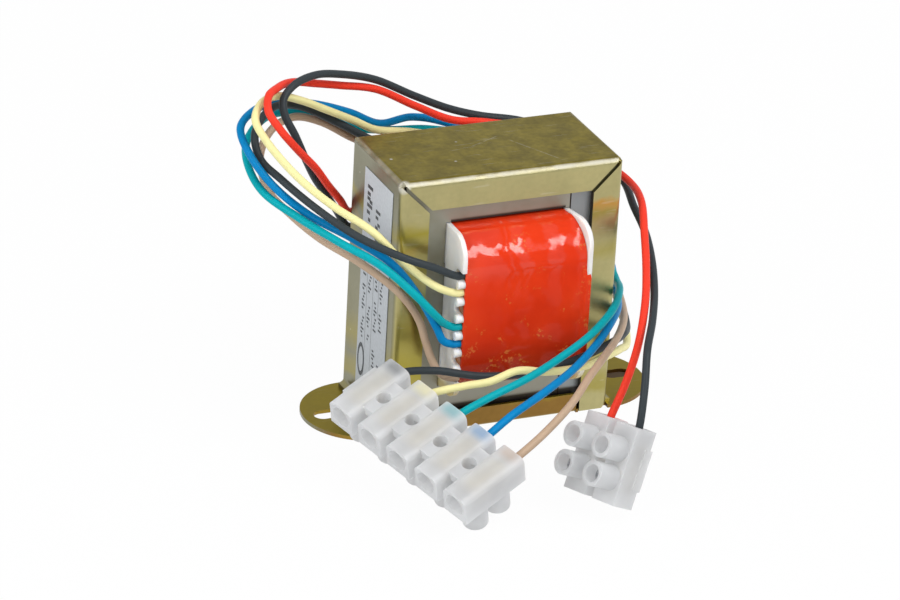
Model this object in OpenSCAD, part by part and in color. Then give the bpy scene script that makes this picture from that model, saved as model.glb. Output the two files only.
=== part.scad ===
// Speaker line transformer
// An EI core in a folded frame on a slotted base plate, with one taped coil,
// seven leads and two terminal strips. Sizes in millimetres, +Z up.
// Origin: the middle of the base plate's underside. The front, with the coil and comb, faces -Y.

/* [Core] */
// Width of an E and its I together, along X
core_w = 47.5; // [47:0.1:48.5]
// Height of the laminations, along Z
core_h = 57; // [56.6:0.1:58]
// Thickness of the lamination stack, along Y
stack = 24; // [22:0.5:25]
// Width of each E's spine, and of each I
yoke_w = 9.5; // [9.2:0.1:9.8]
// Width of the two outer legs
leg_w = 9.5; // [9.2:0.1:9.7]
// Width of the centre leg
centre_leg = 19; // [18.4:0.1:19.2]
// Number of packets that the stack is interleaved in
packets = 6; // [2:2:12]

/* [Frame] */
// Thickness of the folded frame sheet
sheet = 1.2; // [1:0.05:1.4]
// Play between the core and each side wall
side_play = 0.6; // [0.4:0.05:0.8]
// Play between the core and each flange
flange_play = 0.4; // [0.35:0.05:0.5]
// Width of the front and back flanges
flange_w = 6.7; // [5.6:0.1:7.2]
// Outer radius of the frame's bends
bend_r = 1.5; // [1.45:0.05:1.8]
// Inner radius of the frame's bends
bend_in_r = 0.3; // [0.1:0.05:0.3]
// Width of the open mitre slits at the upper corners
mitre_gap = 0.8; // [0.4:0.1:1.2]
// Diameter of the relief hole at each upper front corner
relief_d = 1.3; // [1:0.1:2]
// Distance of those holes' centres from the frame's top and sides
relief_in = 0.5; // [0.4:0.05:0.6]
// Distance of the back slits' ends from the frame's upper corners
back_slit = 2.2; // [2:0.1:4]
// Reach of the outward foot along the bottom of each side wall
foot_out = 1.2; // [0.6:0.1:1.5]
// Thickness of that foot
foot_t = 0.8; // [0.6:0.1:1]
// Chamfer on the lower outer corner of each flange tab
tab_chamfer = 1.4; // [0.8:0.1:2]
// Height of the flange tabs' lower ends above the underside
tab_rise = 0.2; // [0.1:0.05:0.5]

/* [Base plate] */
// Thickness of the base plate sheet
base_t = 0.8; // [0.6:0.05:1.2]
// Reach of each ear beyond the frame's side wall
ear_reach = 14; // [13:0.1:17.4]
// Width of the fixing slots
slot_w = 4; // [3.2:0.1:5]
// End to end length of the fixing slots
slot_len = 6.5; // [5.2:0.1:8]
// Distance of the slots' centres from the frame's side walls
slot_out = 8.45; // [7.6:0.05:9.4]
// Height of the upturned lips above the underside
lip_h = 4.5; // [3:0.1:6]
// Gap between the lips' ends and the flange tabs
lip_gap = 0.75; // [0.4:0.05:4]
// Outer radius of the lips' bends
lip_r = 1; // [0.8:0.05:1.2]
// Play round the flange tabs in the base plate's notches
tab_play = 0.15; // [0.05:0.05:0.3]

/* [Bobbin] */
// Wall thickness of the bobbin's tube
bobbin_wall = 1; // [0.8:0.05:1.2]
// Thickness of the bobbin's flanges
bobbin_flange_t = 1; // [0.8:0.05:1.2]
// Play between the bobbin and the core
bobbin_play = 0.15; // [0.05:0.05:0.25]
// Reach of the flanges beyond the tape, at the front and back
bobbin_reach = 0.45; // [0.1:0.05:1.5]
// Corner radius of the flanges
bobbin_corner_r = 5; // [3:0.1:6]
// Outward lean of the right flange at its front and back edges
flange_lean = 1.7; // [0:0.1:2]
// Distance beyond the stack where that lean starts
lean_start = 0.3; // [0.1:0.05:1]
// Number of lead notches in each comb of the left flange
notches = 7; // [7:1:8]
// Distance between neighbouring notches
notch_pitch = 3.95; // [3.8:0.05:4]
// Width of a notch
notch_w = 2; // [1.8:0.05:2.1]
// Depth of a notch below the comb's knobs
notch_depth = 2.2; // [1.8:0.1:2.6]
// Diameter of the knobs between the notches
knob_d = 1.9; // [1.6:0.05:1.95]
// Length of the knobs
knob_len = 1.6; // [1.2:0.1:2]
// Set-back of the knobs' centres from the flange's edge
knob_back = 1.3; // [1:0.1:1.6]
// Drop of the comb's middle notch below the coil's axis
comb_drop = 1.55; // [0:0.05:2]

/* [Coil] */
// Share of the winding room that the secondary winding takes, next to the bobbin
secondary_share = 0.39; // [0.3:0.01:0.5]
// Thickness of the insulation between the windings
insulation_t = 0.3; // [0.2:0.05:0.4]
// Set-back of the tape from the bobbin flanges' upper and lower edges
tape_inset = 0.3; // [0.1:0.05:1]
// Thickness of the outer tape
tape_t = 0.6; // [0.3:0.05:0.7]
// Corner radius of the bobbin's tube
tube_corner_r = 0.6; // [0.4:0.1:1]

/* [Label] */
// Width of the label, along Y
label_w = 15.2; // [8:0.1:20]
// Gap between the label's upper edge and the frame's top
label_drop = 3.7; // [2:0.1:20]
// Thickness of the label
label_t = 0.15; // [0.1:0.05:0.3]
// Shift of the label towards the back
label_shift = -2; // [-3:0.1:1.2]
// Height of the label's lower edge above the underside
label_rise = 4.1; // [3.5:0.1:4.6]

/* [Leads] */
// Outer diameter of a lead
lead_d = 1.7; // [1.4:0.05:1.75]
// Diameter of a lead's stranded copper
wire_d = 1; // [0.6:0.05:1.2]
// Set-back of the leads' starts from the bobbin flange's edge
lead_back = 1.7; // [1.5:0.05:2]
// Length of a lead's straight end in its mouth
lead_straight = 2.5; // [2:0.1:3]
// Where a lead's insulation ends, from the middle of its pole
bare_at = 6; // [5.8:0.1:7]
// Where a lead's copper ends, from the middle of its pole
wire_stop = 0.6; // [0:0.1:1.5]

/* [Terminal strips] */
// Number of poles of the primary strip
primary_poles = 5; // [5:1:5]
// Number of poles of the secondary strip
secondary_poles = 2; // [2:1:2]
// Gap between neighbouring barrels
pole_gap = 2.1; // [1.6:0.1:2.6]
// Length of a pole
pole_len = 16.8; // [16:0.2:18]
// Wall of a barrel beside its wire mouth
barrel_wall = 0.8; // [0.7:0.05:1.1]
// Wall of a barrel between its wire mouth and its flat underside
barrel_floor = 0.4; // [0.3:0.05:0.8]
// Wall of a barrel between its wire mouth and the side with the screw tubes
barrel_roof = 1.2; // [0.8:0.05:1.6]
// Radius of the barrel's lower edges
barrel_r = 1.4; // [0.6:0.1:1.8]
// Radial play of a clamp in its wire mouth
mouth_play = 0.45; // [0.4:0.05:0.6]
// Radial play of a clamp in its seat
clamp_play = 0.05; // [0.02:0.01:0.08]
// Play between a clamp's end and the step to the wire mouth
clamp_end_play = 0.1; // [0.05:0.05:0.3]
// Wall of a screw tube
tube_wall = 0.85; // [0.6:0.05:1]
// Radial play of a screw's head in its tube
head_play = 0.15; // [0.1:0.05:0.3]
// Height of the screw tubes above the bore's axis
tube_h = 9.3; // [8:0.1:10]
// Distance between a pole's two screw tubes
tube_gap = 6.2; // [5.9:0.1:7]
// Thickness of the webs between the poles
web_t = 2.2; // [1.6:0.1:3]
// Length of the webs along the poles
web_len = 9; // [7:0.2:12]
// Height of the webs' underside above the barrels' underside
web_rise = 0.3; // [0.2:0.1:1.2]
// Reach of the cut web beyond the first pole's side
web_stub = 0.15; // [0.1:0.05:1]
// Diameter of the fixing holes in the webs
fixing_d = 3.2; // [2.6:0.1:3.4]
// Outer diameter of a brass clamp
clamp_d = 4; // [3.8:0.05:4.2]
// Length of a brass clamp
clamp_len = 10.6; // [10:0.1:11]
// Diameter of a clamp's wire bore
clamp_bore_d = 2.6; // [2.4:0.05:2.8]
// Diameter of the clamping screws
screw_d = 2.4; // [2:0.05:2.6]
// Radial play of the clamping screws in the clamps
screw_play = 0.05; // [0.02:0.01:0.1]
// Diameter of the screws' heads
head_d = 3.4; // [3:0.05:3.5]
// Height of the screws' heads
head_h = 1.4; // [1:0.1:2]
// Length of the screws below their heads
screw_len = 3.6; // [3.2:0.1:4]
// Width of the slots in the screws' heads
driver_slot_w = 0.6; // [0.4:0.05:0.8]
// Depth of the slots in the screws' heads
driver_slot_h = 0.7; // [0.4:0.05:0.9]
// How far the screws on the empty side are backed out
backed_out = 1; // [0.9:0.1:2]
// Height of the strips' lowest points above the surface
strip_gap = 0.1; // [0.05:0.05:0.5]

/* [Hidden] */
$fn = 48;

// Frame and base plate
frame_w = core_w + 2 * (side_play + sheet);
frame_d = stack + 2 * (flange_play + sheet);
frame_h = base_t + core_h + sheet;
core_z = base_t + core_h / 2;
ear_x = frame_w / 2 + ear_reach - frame_d / 2;
slot_x = frame_w / 2 + slot_out;
flange_x = frame_w / 2 - flange_w;
lip_len = 2 * (flange_x - lip_gap);
label_h = frame_h - label_drop - label_rise;

// Bobbin and coil
window_x = core_w / 2 - yoke_w;
bobbin_x = window_x - bobbin_play;
coil_x = bobbin_x - bobbin_flange_t;
tube_y = stack / 2 + bobbin_play + bobbin_wall;
tube_z = centre_leg / 2 + bobbin_play + bobbin_wall;
lean_y = stack / 2 + lean_start;
flange_half_z = core_h / 2 - leg_w - bobbin_play;
comb_z = core_z - comb_drop;
// Builds over the tube, from the innermost layer out; the two windings fill what the window leaves
build_4 = flange_half_z - tape_inset - tube_z;
build_3 = build_4 - tape_t;
build_1 = secondary_share * (build_3 - insulation_t);
build_2 = build_1 + insulation_t;
flange_half_y = tube_y + build_4 + bobbin_reach;
knob_y = flange_half_y - knob_back;

// Terminal strips, from the clamps outwards
seat_d = clamp_d + 2 * clamp_play;
mouth_d = clamp_d + 2 * mouth_play;
mouth_x = clamp_len / 2 + clamp_end_play;
barrel_w = mouth_d + 2 * barrel_wall;
floor_h = mouth_d / 2 + barrel_floor;
roof_h = mouth_d / 2 + barrel_roof;
pole_pitch = barrel_w + pole_gap;
tube_bore_d = head_d + 2 * head_play;
tube_d = tube_bore_d + 2 * tube_wall;

// How a strip lies: its turns about X, Y and Z, and where its middle is over the surface
five_turn = [-167.5, -19.5, 18];
five_xy = [-29.3, -41.6];
two_turn = [-14.5, -63.5, 31];
two_xy = [7.6, -53.9];

// The strip's own up direction, read along world Z
function up_row(a) = [-sin(a[1]), cos(a[1]) * sin(a[0]), cos(a[1]) * cos(a[0])];

// How far a strip of n poles reaches below its middle, by its barrels and by its tubes
function barrel_reach(z, n) =
    let (r = z[2] > 0 ? barrel_r : 0, h = z[2] > 0 ? floor_h : roof_h)
    abs(z[0]) * pole_len / 2
    + abs(z[1]) * ((n - 1) * pole_pitch / 2 + barrel_w / 2 - r)
    + abs(z[2]) * (h - r)
    + r * norm([z[1], z[2]]);
function tube_reach(z, n) =
    abs(z[0]) * tube_gap / 2
    + abs(z[1]) * (n - 1) * pole_pitch / 2
    - z[2] * tube_h
    + tube_d / 2 * norm([z[0], z[1]]);
function strip_lift(a, n) = strip_gap + max(barrel_reach(up_row(a), n), tube_reach(up_row(a), n));

five_at = [five_xy[0], five_xy[1], strip_lift(five_turn, primary_poles)];
two_at = [two_xy[0], two_xy[1], strip_lift(two_turn, secondary_poles)];

// A strip's own point, turned and moved to where the strip lies
function turn_x(p, a) = [p[0], p[1] * cos(a) - p[2] * sin(a), p[1] * sin(a) + p[2] * cos(a)];
function turn_y(p, a) = [p[0] * cos(a) + p[2] * sin(a), p[1], p[2] * cos(a) - p[0] * sin(a)];
function turn_z(p, a) = [p[0] * cos(a) - p[1] * sin(a), p[0] * sin(a) + p[1] * cos(a), p[2]];
function placed(at, a, p) = at + turn_z(turn_y(turn_x(p, a[0]), a[1]), a[2]);
function pole_y(k, n) = (k - (n - 1) / 2) * pole_pitch;
function notch_z(k) = comb_z + ((notches - 1) / 2 - k) * notch_pitch;

// A lead starts on the winding's side in its notch, straight out along -X,
// and ends on its pole's axis
function lead_start(side, k) = [
    [-coil_x, side * (flange_half_y - lead_back), notch_z(k)],
    [-coil_x - knob_len, side * (flange_half_y - lead_back), notch_z(k)],
];
function lead_end(at, a, k, n) = [
    placed(at, a, [bare_at + lead_straight, pole_y(k, n), 0]),
    placed(at, a, [bare_at, pole_y(k, n), 0]),
];

// Route points of the leads, chosen by hand
black_primary_points = [
    [-19.5, -20, 42], [-27, -18.5, 45], [-34.5, -12.5, 48], [-41, -5, 52], [-45.9, 2.7, 55.9], [-48.3, 8.9, 58.3],
    [-48.5, 12, 62.5], [-43, 17.5, 65.5], [-35, 22, 63.5], [-24, 24.5, 57], [-15, 25.5, 51.5], [-5, 26.5, 48.5],
    [4.5, 27.5, 44.5], [13, 28, 39], [21.5, 26.5, 33.5], [29.5, 22, 28.5], [34, 14.5, 23], [35.5, 5.5, 17.5],
    [33.5, -4, 15], [28.5, -13, 17], [21, -20, 18.5], [11.5, -24.5, 18.5], [1, -25.5, 17.5], [-9.5, -24, 17.5],
    [-19.5, -22.5, 19.5],
];
yellow_points = [
    [-19, -19.5, 37.5], [-25, -16, 42], [-31.5, -13, 49], [-38, -7, 53], [-44, 0, 58], [-48.5, 6.5, 64],
    [-49.5, 9.5, 67], [-47, 13, 69], [-41.5, 17, 68.5], [-35.5, 19, 66], [-28.5, 21.5, 62], [-20.5, 25.5, 57],
    [-14, 28, 53], [-4, 31, 50], [5.5, 33.5, 46], [14, 34, 38.5], [22, 32, 32], [29.5, 28, 27],
    [35, 20.5, 22.5], [37, 12, 17], [37, 4, 11], [33.5, -5, 10.5], [28, -13, 13.5], [21.6, -20.2, 16.2],
    [13, -26, 17.5], [3.5, -29, 19], [-4.5, -30.4, 21], [-10.8, -31.2, 19.8], [-16.5, -31, 19.5],
];
green_points = [
    [-17, -20, 29], [-19, -21, 31], [-24, -21, 36.5], [-31, -17.5, 43], [-38, -11, 46.5], [-43.5, -3, 49],
    [-49, 5, 52.5], [-50, 11.5, 56], [-48.5, 16.5, 59], [-43, 21.5, 61.5], [-35.5, 26, 60.5], [-26.5, 28.5, 57.5],
    [-18.5, 30.5, 53], [-9, 32.5, 50.5], [1, 35, 48.5], [11, 34.5, 46], [20, 30.5, 42], [27, 23.5, 37],
    [31, 16, 32], [32.5, 7.5, 27], [31, -2.5, 25], [27.4, -11.8, 27], [21.9, -20.3, 27], [14, -26.5, 25],
    [5, -30.5, 22.5], [-4, -34.5, 21], [-14, -37, 19],
];
blue_points = [
    [-17, -19.9, 24.9], [-18.4, -19.2, 27.9], [-22, -18, 34.5], [-28, -16.5, 42.5], [-34.5, -10.5, 46.5], [-41.5, -2.5, 49.5],
    [-47.6, 3.3, 54.6], [-51, 8.9, 60.1], [-51, 14, 63.5], [-46.5, 18.5, 65], [-38.5, 23, 64.5], [-29, 26, 61.5],
    [-20, 28.5, 57.5], [-12, 31, 53], [-3, 34.5, 52], [6.5, 37, 48.5], [16, 35, 44], [24, 30.5, 39.5],
    [30.5, 24, 35], [34, 15.5, 30.5], [34, 7, 25], [31.5, -2.5, 21.5], [27.5, -11.5, 23], [22, -20, 24],
    [15, -27.5, 23], [7, -34, 21.5], [-2, -39.5, 20], [-11.5, -44, 18],
];
brown_points = [
    [-17, -19, 17], [-18.5, -17.5, 20], [-19.5, -16.5, 23.5], [-21, -15.5, 28.5], [-26, -15.5, 35.5], [-33, -10.5, 41],
    [-39, -3, 44], [-43, 4.5, 47], [-45.5, 11, 50], [-45.5, 16, 55.5], [-42, 19.5, 59.5], [-35.5, 23, 60.5],
    [-28, 25.5, 57.5], [-19.5, 27, 52], [-11, 29, 47.5], [-1.5, 30.5, 44.5], [8.5, 31, 42], [17.5, 29.5, 38.5],
    [25, 26, 34], [30.5, 19.5, 29.5], [33, 11.5, 25], [34, 3.5, 20.5], [31.5, -6, 19.5], [27, -15.5, 21],
    [21.5, -24, 22], [15, -32, 22.5], [8, -39.5, 22], [0.5, -46.8, 20], [-8, -51.8, 16.6],
];
red_points = [
    [-20, 19.5, 39], [-24.5, 16.5, 40], [-27.5, 14, 44], [-31.5, 11.5, 49], [-36, 8.5, 55], [-40.5, 7, 60],
    [-45, 6.5, 65.5], [-47, 8.5, 69], [-46, 11.5, 71], [-42.5, 15.5, 71], [-37.5, 20, 70], [-30.5, 23.5, 67.5],
    [-24, 25.5, 65.5], [-15, 27, 63], [-5, 28, 57.5], [4, 28.5, 53], [12, 28.5, 51.5], [20.5, 26.5, 50],
    [28.5, 21, 48], [33.5, 12, 46], [35, 2, 45.5], [33, -8, 45.5], [29.5, -17.5, 42.5], [26, -26.5, 38.5],
    [21.5, -36, 35], [17, -43, 29.5], [13, -46.5, 23],
];
black_secondary_points = [
    [-20, 20, 35], [-23.5, 18.5, 35.5], [-27.5, 16.5, 41], [-31, 14, 46], [-34.5, 12, 51], [-37.5, 10.5, 56.5],
    [-40, 10.5, 62], [-42, 12, 66.5], [-41.5, 14, 69], [-38.5, 16, 71], [-32, 20, 71], [-25, 23.5, 69],
    [-15, 27.5, 65], [-4.5, 30, 59], [4.5, 31, 54.5], [12, 31, 52], [20.5, 29.5, 50.5], [28.5, 25.5, 48.5],
    [34.5, 18.5, 46], [36.5, 8.5, 43], [34.5, -1.5, 41.5], [32.5, -12, 40], [29.5, -22, 38], [26, -31, 35.5],
    [21.5, -40, 33.5], [16.5, -48.5, 31], [14, -53.5, 25],
];

// Each lead's notch, side of the bobbin and pole
function five_route(k, notch, points) = concat(
    lead_start(-1, notch), points, lead_end(five_at, five_turn, k, primary_poles));
function two_route(k, notch, points) = concat(
    lead_start(1, notch), points, lead_end(two_at, two_turn, k, secondary_poles));

// Sides of a lead's tube, and the distance aimed at between its rings
lead_sides = 8;
ring_step = 4.4;

function unit(v) = v / norm(v);
function knot(a, b) = sqrt(norm(b - a));
function mix(a, b, s, e, t) = ((e - t) * a + (t - s) * b) / (e - s);

// A point on the smooth curve through a, b, c and d, at share f of the way from b to c
function curve_at(a, b, c, d, f) =
    let (t1 = knot(a, b), t2 = t1 + knot(b, c), t3 = t2 + knot(c, d))
    let (t = t1 + f * (t2 - t1))
    let (p = mix(a, b, 0, t1, t), q = mix(b, c, t1, t2, t), r = mix(c, d, t2, t3, t))
    mix(mix(p, q, 0, t2, t), mix(q, r, t1, t3, t), t1, t2, t);

// A route with one more point mirrored out at each end
function padded(r) = concat([2 * r[0] - r[1]], r, [2 * r[len(r) - 1] - r[len(r) - 2]]);
function steps_of(a, b) = max(1, round(norm(b - a) / ring_step));
function centres(r) = let (q = padded(r)) concat(
    [for (i = [0:len(r) - 2]) for (k = [0:steps_of(r[i], r[i + 1]) - 1])
        curve_at(q[i], q[i + 1], q[i + 2], q[i + 3], k / steps_of(r[i], r[i + 1]))],
    [r[len(r) - 1]]);
function headings(c, r) = [for (i = [0:len(c) - 1])
    i == 0 ? unit(r[1] - r[0])
    : i == len(c) - 1 ? unit(r[len(r) - 1] - r[len(r) - 2])
    : unit(c[i + 1] - c[i - 1])];
function squared(n, t) = unit(n - (n * t) * t);
function normals(t, n, i = 0) = i == len(t) ? []
    : let (m = squared(n, t[i])) concat([m], normals(t, m, i + 1));
function rings(c, t, n) = [for (i = [0:len(c) - 1]) for (k = [0:lead_sides - 1])
    c[i] + lead_d / 2 * (cos(k * 360 / lead_sides) * n[i] + sin(k * 360 / lead_sides) * cross(t[i], n[i]))];
function tube_faces(count) = concat(
    [[for (k = [0:lead_sides - 1]) k]],
    [for (i = [0:count - 2]) for (k = [0:lead_sides - 1]) let (m = (k + 1) % lead_sides)
        [i * lead_sides + k, (i + 1) * lead_sides + k, (i + 1) * lead_sides + m, i * lead_sides + m]],
    [[for (k = [lead_sides - 1:-1:0]) (count - 1) * lead_sides + k]]);

// Flat outlines

// An upright outline with its two upper corners rounded
module arch(w, h, r) {
    translate([-w / 2, 0]) square([w, h - r]);
    translate([-w / 2 + r, 0]) square([w - 2 * r, h]);
    for (s = [-1, 1]) translate([s * (w / 2 - r), h - r]) circle(r);
}

module rounded_rect(w, h, r) {
    square([w - 2 * r, h], center = true);
    square([w, h - 2 * r], center = true);
    for (x = [-1, 1]) for (y = [-1, 1]) translate([x * (w / 2 - r), y * (h / 2 - r)]) circle(r);
}

module slot(len, w) {
    square([len - w, w], center = true);
    for (s = [-1, 1]) translate([s * (len - w) / 2, 0]) circle(w / 2);
}

// An outline drawn in the YZ plane and made d long along X, about its middle
module along_x(d) {
    rotate([90, 0, 90]) linear_extrude(d, center = true) children();
}

// An outline drawn in the XZ plane and made d deep along Y, about its middle
module along_y(d) {
    rotate([90, 0, 0]) linear_extrude(d, center = true) children();
}

// Base plate

module plate_outline() {
    difference() {
        union() {
            square([2 * ear_x, frame_d], center = true);
            for (s = [-1, 1]) translate([s * ear_x, 0]) circle(frame_d / 2, $fn = 96);
        }
        for (s = [-1, 1]) translate([s * slot_x, 0]) slot(slot_len, slot_w);
        for (x = [-1, 1]) for (y = [-1, 1]) scale([x, y])
            translate([flange_x - tab_play, frame_d / 2 - sheet - tab_play])
                square([flange_w + 2 * tab_play, sheet + tab_play + 1]);
    }
}

module base_plate() {
    color("#8a7a3c") difference() {
        union() {
            linear_extrude(base_t) plate_outline();
            for (s = [-1, 1]) translate([-lip_len / 2, s * (frame_d - base_t) / 2 - base_t / 2, 0])
                cube([lip_len, base_t, lip_h]);
        }
        for (s = [0, 1]) mirror([0, s, 0]) translate([0, -frame_d / 2, 0]) along_x(lip_len) difference() {
            translate([-0.1, -0.1]) square(lip_r + 0.1);
            translate([lip_r, lip_r]) circle(lip_r);
        }
    }
}

// Frame

// A box from z0 to z1 with its upper and upright edges rounded
module folded_box(w, d, z0, z1, r) {
    intersection() {
        translate([0, 0, z0]) along_y(d) arch(w, z1 - z0, r);
        translate([0, 0, z0]) along_x(w) arch(d, z1 - z0, r);
        translate([0, 0, z0]) linear_extrude(z1 - z0) rounded_rect(w, d, r);
    }
}

module frame_shell() {
    color("#a39b63") difference() {
        union() {
            folded_box(frame_w, frame_d, tab_rise, frame_h, bend_r);
            for (s = [0, 1]) mirror([s, 0, 0]) translate([-frame_w / 2, 0, base_t]) along_y(frame_d - 2 * bend_r)
                wall_foot();
        }
        folded_box(frame_w - 2 * sheet, frame_d - 2 * sheet, tab_rise - 1, frame_h - sheet, bend_in_r);
        translate([-flange_x, -frame_d, tab_rise - 1])
            cube([2 * flange_x, 2 * frame_d, frame_h - flange_w - tab_rise + 1]);
        translate([-frame_w, sheet - frame_d / 2, tab_rise - 1])
            cube([2 * frame_w, frame_d - 2 * sheet, base_t - tab_rise + 1]);
        for (x = [0, 1]) mirror([x, 0, 0]) {
            front_corner_cuts();
            mirror([0, 1, 0]) mitre_slit(back_slit);
            for (y = [0, 1]) mirror([0, y, 0]) tab_cut();
        }
    }
}

// The outward foot of a side wall, drawn from the wall's outer face
module wall_foot() {
    translate([-foot_out, 0]) square([foot_out + 0.2, foot_t]);
    difference() {
        translate([-foot_out, foot_t]) square([foot_out + 0.2, foot_out]);
        translate([-foot_out, foot_t + foot_out]) circle(foot_out);
    }
}

// The mitre slit of one front corner, ending the given distance from the corner
module mitre_slit(end) {
    translate([frame_w / 2, bend_r - frame_d / 2, frame_h]) rotate([0, 45, 0])
        translate([-mitre_gap / 2, -bend_r - 1, -2 * flange_w]) cube([mitre_gap, bend_r + 1, 2 * flange_w - end]);
}

// The slit through one front corner, with its relief hole
module front_corner_cuts() {
    mitre_slit(-1);
    translate([frame_w / 2 - relief_in, bend_r - frame_d / 2, frame_h - relief_in]) rotate([90, 0, 0])
        cylinder(d = relief_d, h = bend_r + 1);
}

// The chamfer on one flange tab
module tab_cut() {
    translate([frame_w / 2, sheet - frame_d / 2, tab_rise]) rotate([90, 0, 0]) linear_extrude(sheet + 1)
        polygon([[1, -1], [1, tab_chamfer + 1], [0, tab_chamfer], [-tab_chamfer, 0], [-tab_chamfer - 1, -1]]);
}

// Core

// The three legs, which every E has in the same place
module legs_outline() {
    translate([-window_x, base_t]) square([2 * window_x, leg_w]);
    translate([-window_x, core_z - centre_leg / 2]) square([2 * window_x, centre_leg]);
    translate([-window_x, base_t + core_h - leg_w]) square([2 * window_x, leg_w]);
}

// An E's spine, and the I across its legs' ends
module spine_outline() {
    translate([-core_w / 2, base_t]) square([yoke_w, core_h]);
}

module i_outline() {
    translate([window_x, base_t]) square([yoke_w, core_h]);
}

// Every other packet is turned end for end
module packet(i) {
    translate([0, (i + 0.5) * stack / packets - stack / 2, 0]) mirror([i % 2, 0, 0])
        along_y(stack / packets) children();
}

module core_e_laminations() {
    color("#91877d") union() {
        along_y(stack) legs_outline();
        for (i = [0:packets - 1]) packet(i) spine_outline();
    }
}

module core_i_laminations() {
    color("#8d8379") for (i = [0:packets - 1]) packet(i) i_outline();
}

// Bobbin

module flange_outline() {
    rounded_rect(2 * flange_half_y, 2 * flange_half_z, bobbin_corner_r);
}

// The right flange seen from above, leaning outwards in front of and behind the core
module leaning_plan(t) {
    polygon([
        [coil_x, -lean_y], [coil_x + flange_lean, -flange_half_y], [coil_x + flange_lean + t, -flange_half_y],
        [coil_x + t, -lean_y], [coil_x + t, lean_y], [coil_x + flange_lean + t, flange_half_y],
        [coil_x + flange_lean, flange_half_y], [coil_x, lean_y],
    ]);
}

module bobbin() {
    color("#e1ded7") difference() {
        union() {
            translate([0, 0, core_z]) along_x(2 * bobbin_x) rounded_rect(2 * tube_y, 2 * tube_z, tube_corner_r);
            translate([-bobbin_x + bobbin_flange_t / 2, 0, core_z]) along_x(bobbin_flange_t) left_flange_outline();
            intersection() {
                translate([coil_x, 0, core_z]) along_x(3 * bobbin_flange_t + 2 * flange_lean) flange_outline();
                linear_extrude(frame_h) leaning_plan(bobbin_flange_t);
            }
            for (y = [-1, 1]) for (k = [0:notches - 2])
                translate([-coil_x - knob_len, y * knob_y, notch_z(k + 0.5)]) rotate([0, 90, 0])
                    cylinder(d = knob_d, h = knob_len);
        }
        translate([-core_w / 2, -stack / 2 - bobbin_play, core_z - centre_leg / 2 - bobbin_play])
            cube([core_w, stack + 2 * bobbin_play, centre_leg + 2 * bobbin_play]);
    }
}

// The left flange with a comb cut in its front and back edges
module left_flange_outline() {
    difference() {
        flange_outline();
        for (y = [-1, 1]) scale([y, 1]) {
            translate([knob_y, notch_z(notches - 1) - notch_w / 2 - core_z])
                square([knob_back + 1, (notches - 1) * notch_pitch + notch_w]);
            for (k = [0:notches - 1]) translate([knob_y, notch_z(k) - core_z]) {
                translate([notch_w / 2 - notch_depth, -notch_w / 2]) square([notch_depth + knob_back, notch_w]);
                translate([notch_w / 2 - notch_depth, 0]) circle(notch_w / 2);
            }
        }
    }
}

// Coil

// One layer of the coil, between two builds over the bobbin's tube
module coil_layer(from, to) {
    intersection() {
        translate([0, 0, core_z]) along_x(4 * coil_x) difference() {
            rounded_rect(2 * (tube_y + to), 2 * (tube_z + to), tube_corner_r + to);
            rounded_rect(2 * (tube_y + from), 2 * (tube_z + from), tube_corner_r + from);
        }
        linear_extrude(frame_h) polygon([
            [-coil_x, -flange_half_y], [coil_x + flange_lean, -flange_half_y], [coil_x, -lean_y],
            [coil_x, lean_y], [coil_x + flange_lean, flange_half_y], [-coil_x, flange_half_y],
        ]);
    }
}

module secondary_winding() {
    color("#b06a35") coil_layer(0, build_1);
}

module winding_insulation() {
    color("#d8c890") coil_layer(build_1, build_2);
}

module primary_winding() {
    color("#b8743c") coil_layer(build_2, build_3);
}

module outer_tape() {
    color("#dc4626") coil_layer(build_3, build_4);
}

// Label

module rating_label() {
    color("#dcdcd8") translate([-frame_w / 2 - label_t, label_shift - label_w / 2, label_rise])
        cube([label_t, label_w, label_h]);
}

// Leads

module lead(route) {
    c = centres(route);
    t = headings(c, route);
    n = normals(t, [0, 0, 1]);
    polyhedron(rings(c, t, n), tube_faces(len(c)), convexity = 6);
}

module lead_black_primary() {
    color("#2d3234") lead(five_route(0, 0, black_primary_points));
}

module lead_yellow() {
    color("#ebe196") lead(five_route(1, 1, yellow_points));
}

module lead_green() {
    color("#00a5a5") lead(five_route(2, 3, green_points));
}

module lead_blue() {
    color("#0078c8") lead(five_route(3, 4, blue_points));
}

module lead_brown() {
    color("#b99b82") lead(five_route(4, 6, brown_points));
}

module lead_red() {
    color("#eb4132") lead(two_route(1, 0, red_points));
}

module lead_black_secondary() {
    color("#2b2f31") lead(two_route(0, 1, black_secondary_points));
}

// Terminal strips, drawn with the poles along X and the screw tubes up.
// The leads come in at +X, where the clamps' seat runs straight out; the open mouths are at -X.

module strip_housing(n) {
    difference() {
        union() {
            for (k = [0:n - 1]) translate([0, pole_y(k, n), 0]) {
                along_x(pole_len) translate([0, roof_h]) mirror([0, 1]) arch(barrel_w, roof_h + floor_h, barrel_r);
                for (s = [-1, 1]) translate([s * tube_gap / 2, 0, 0]) cylinder(d = tube_d, h = tube_h);
            }
            translate([-web_len / 2, pole_y(0, n) - barrel_w / 2 - web_stub, web_rise - floor_h])
                cube([web_len, (n - 1) * pole_pitch + barrel_w / 2 + web_stub, web_t]);
        }
        for (k = [0:n - 1]) translate([0, pole_y(k, n), 0]) {
            rotate([0, 90, 0]) cylinder(d = seat_d, h = pole_len, center = true);
            translate([-mouth_x, 0, 0]) rotate([0, -90, 0]) cylinder(d = mouth_d, h = pole_len);
            for (s = [-1, 1]) translate([s * tube_gap / 2, 0, 0]) cylinder(d = tube_bore_d, h = tube_h + 1);
        }
        for (k = [0:n - 2]) translate([0, pole_y(k + 0.5, n), -2 * floor_h])
            cylinder(d = fixing_d, h = 4 * floor_h);
    }
}

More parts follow.
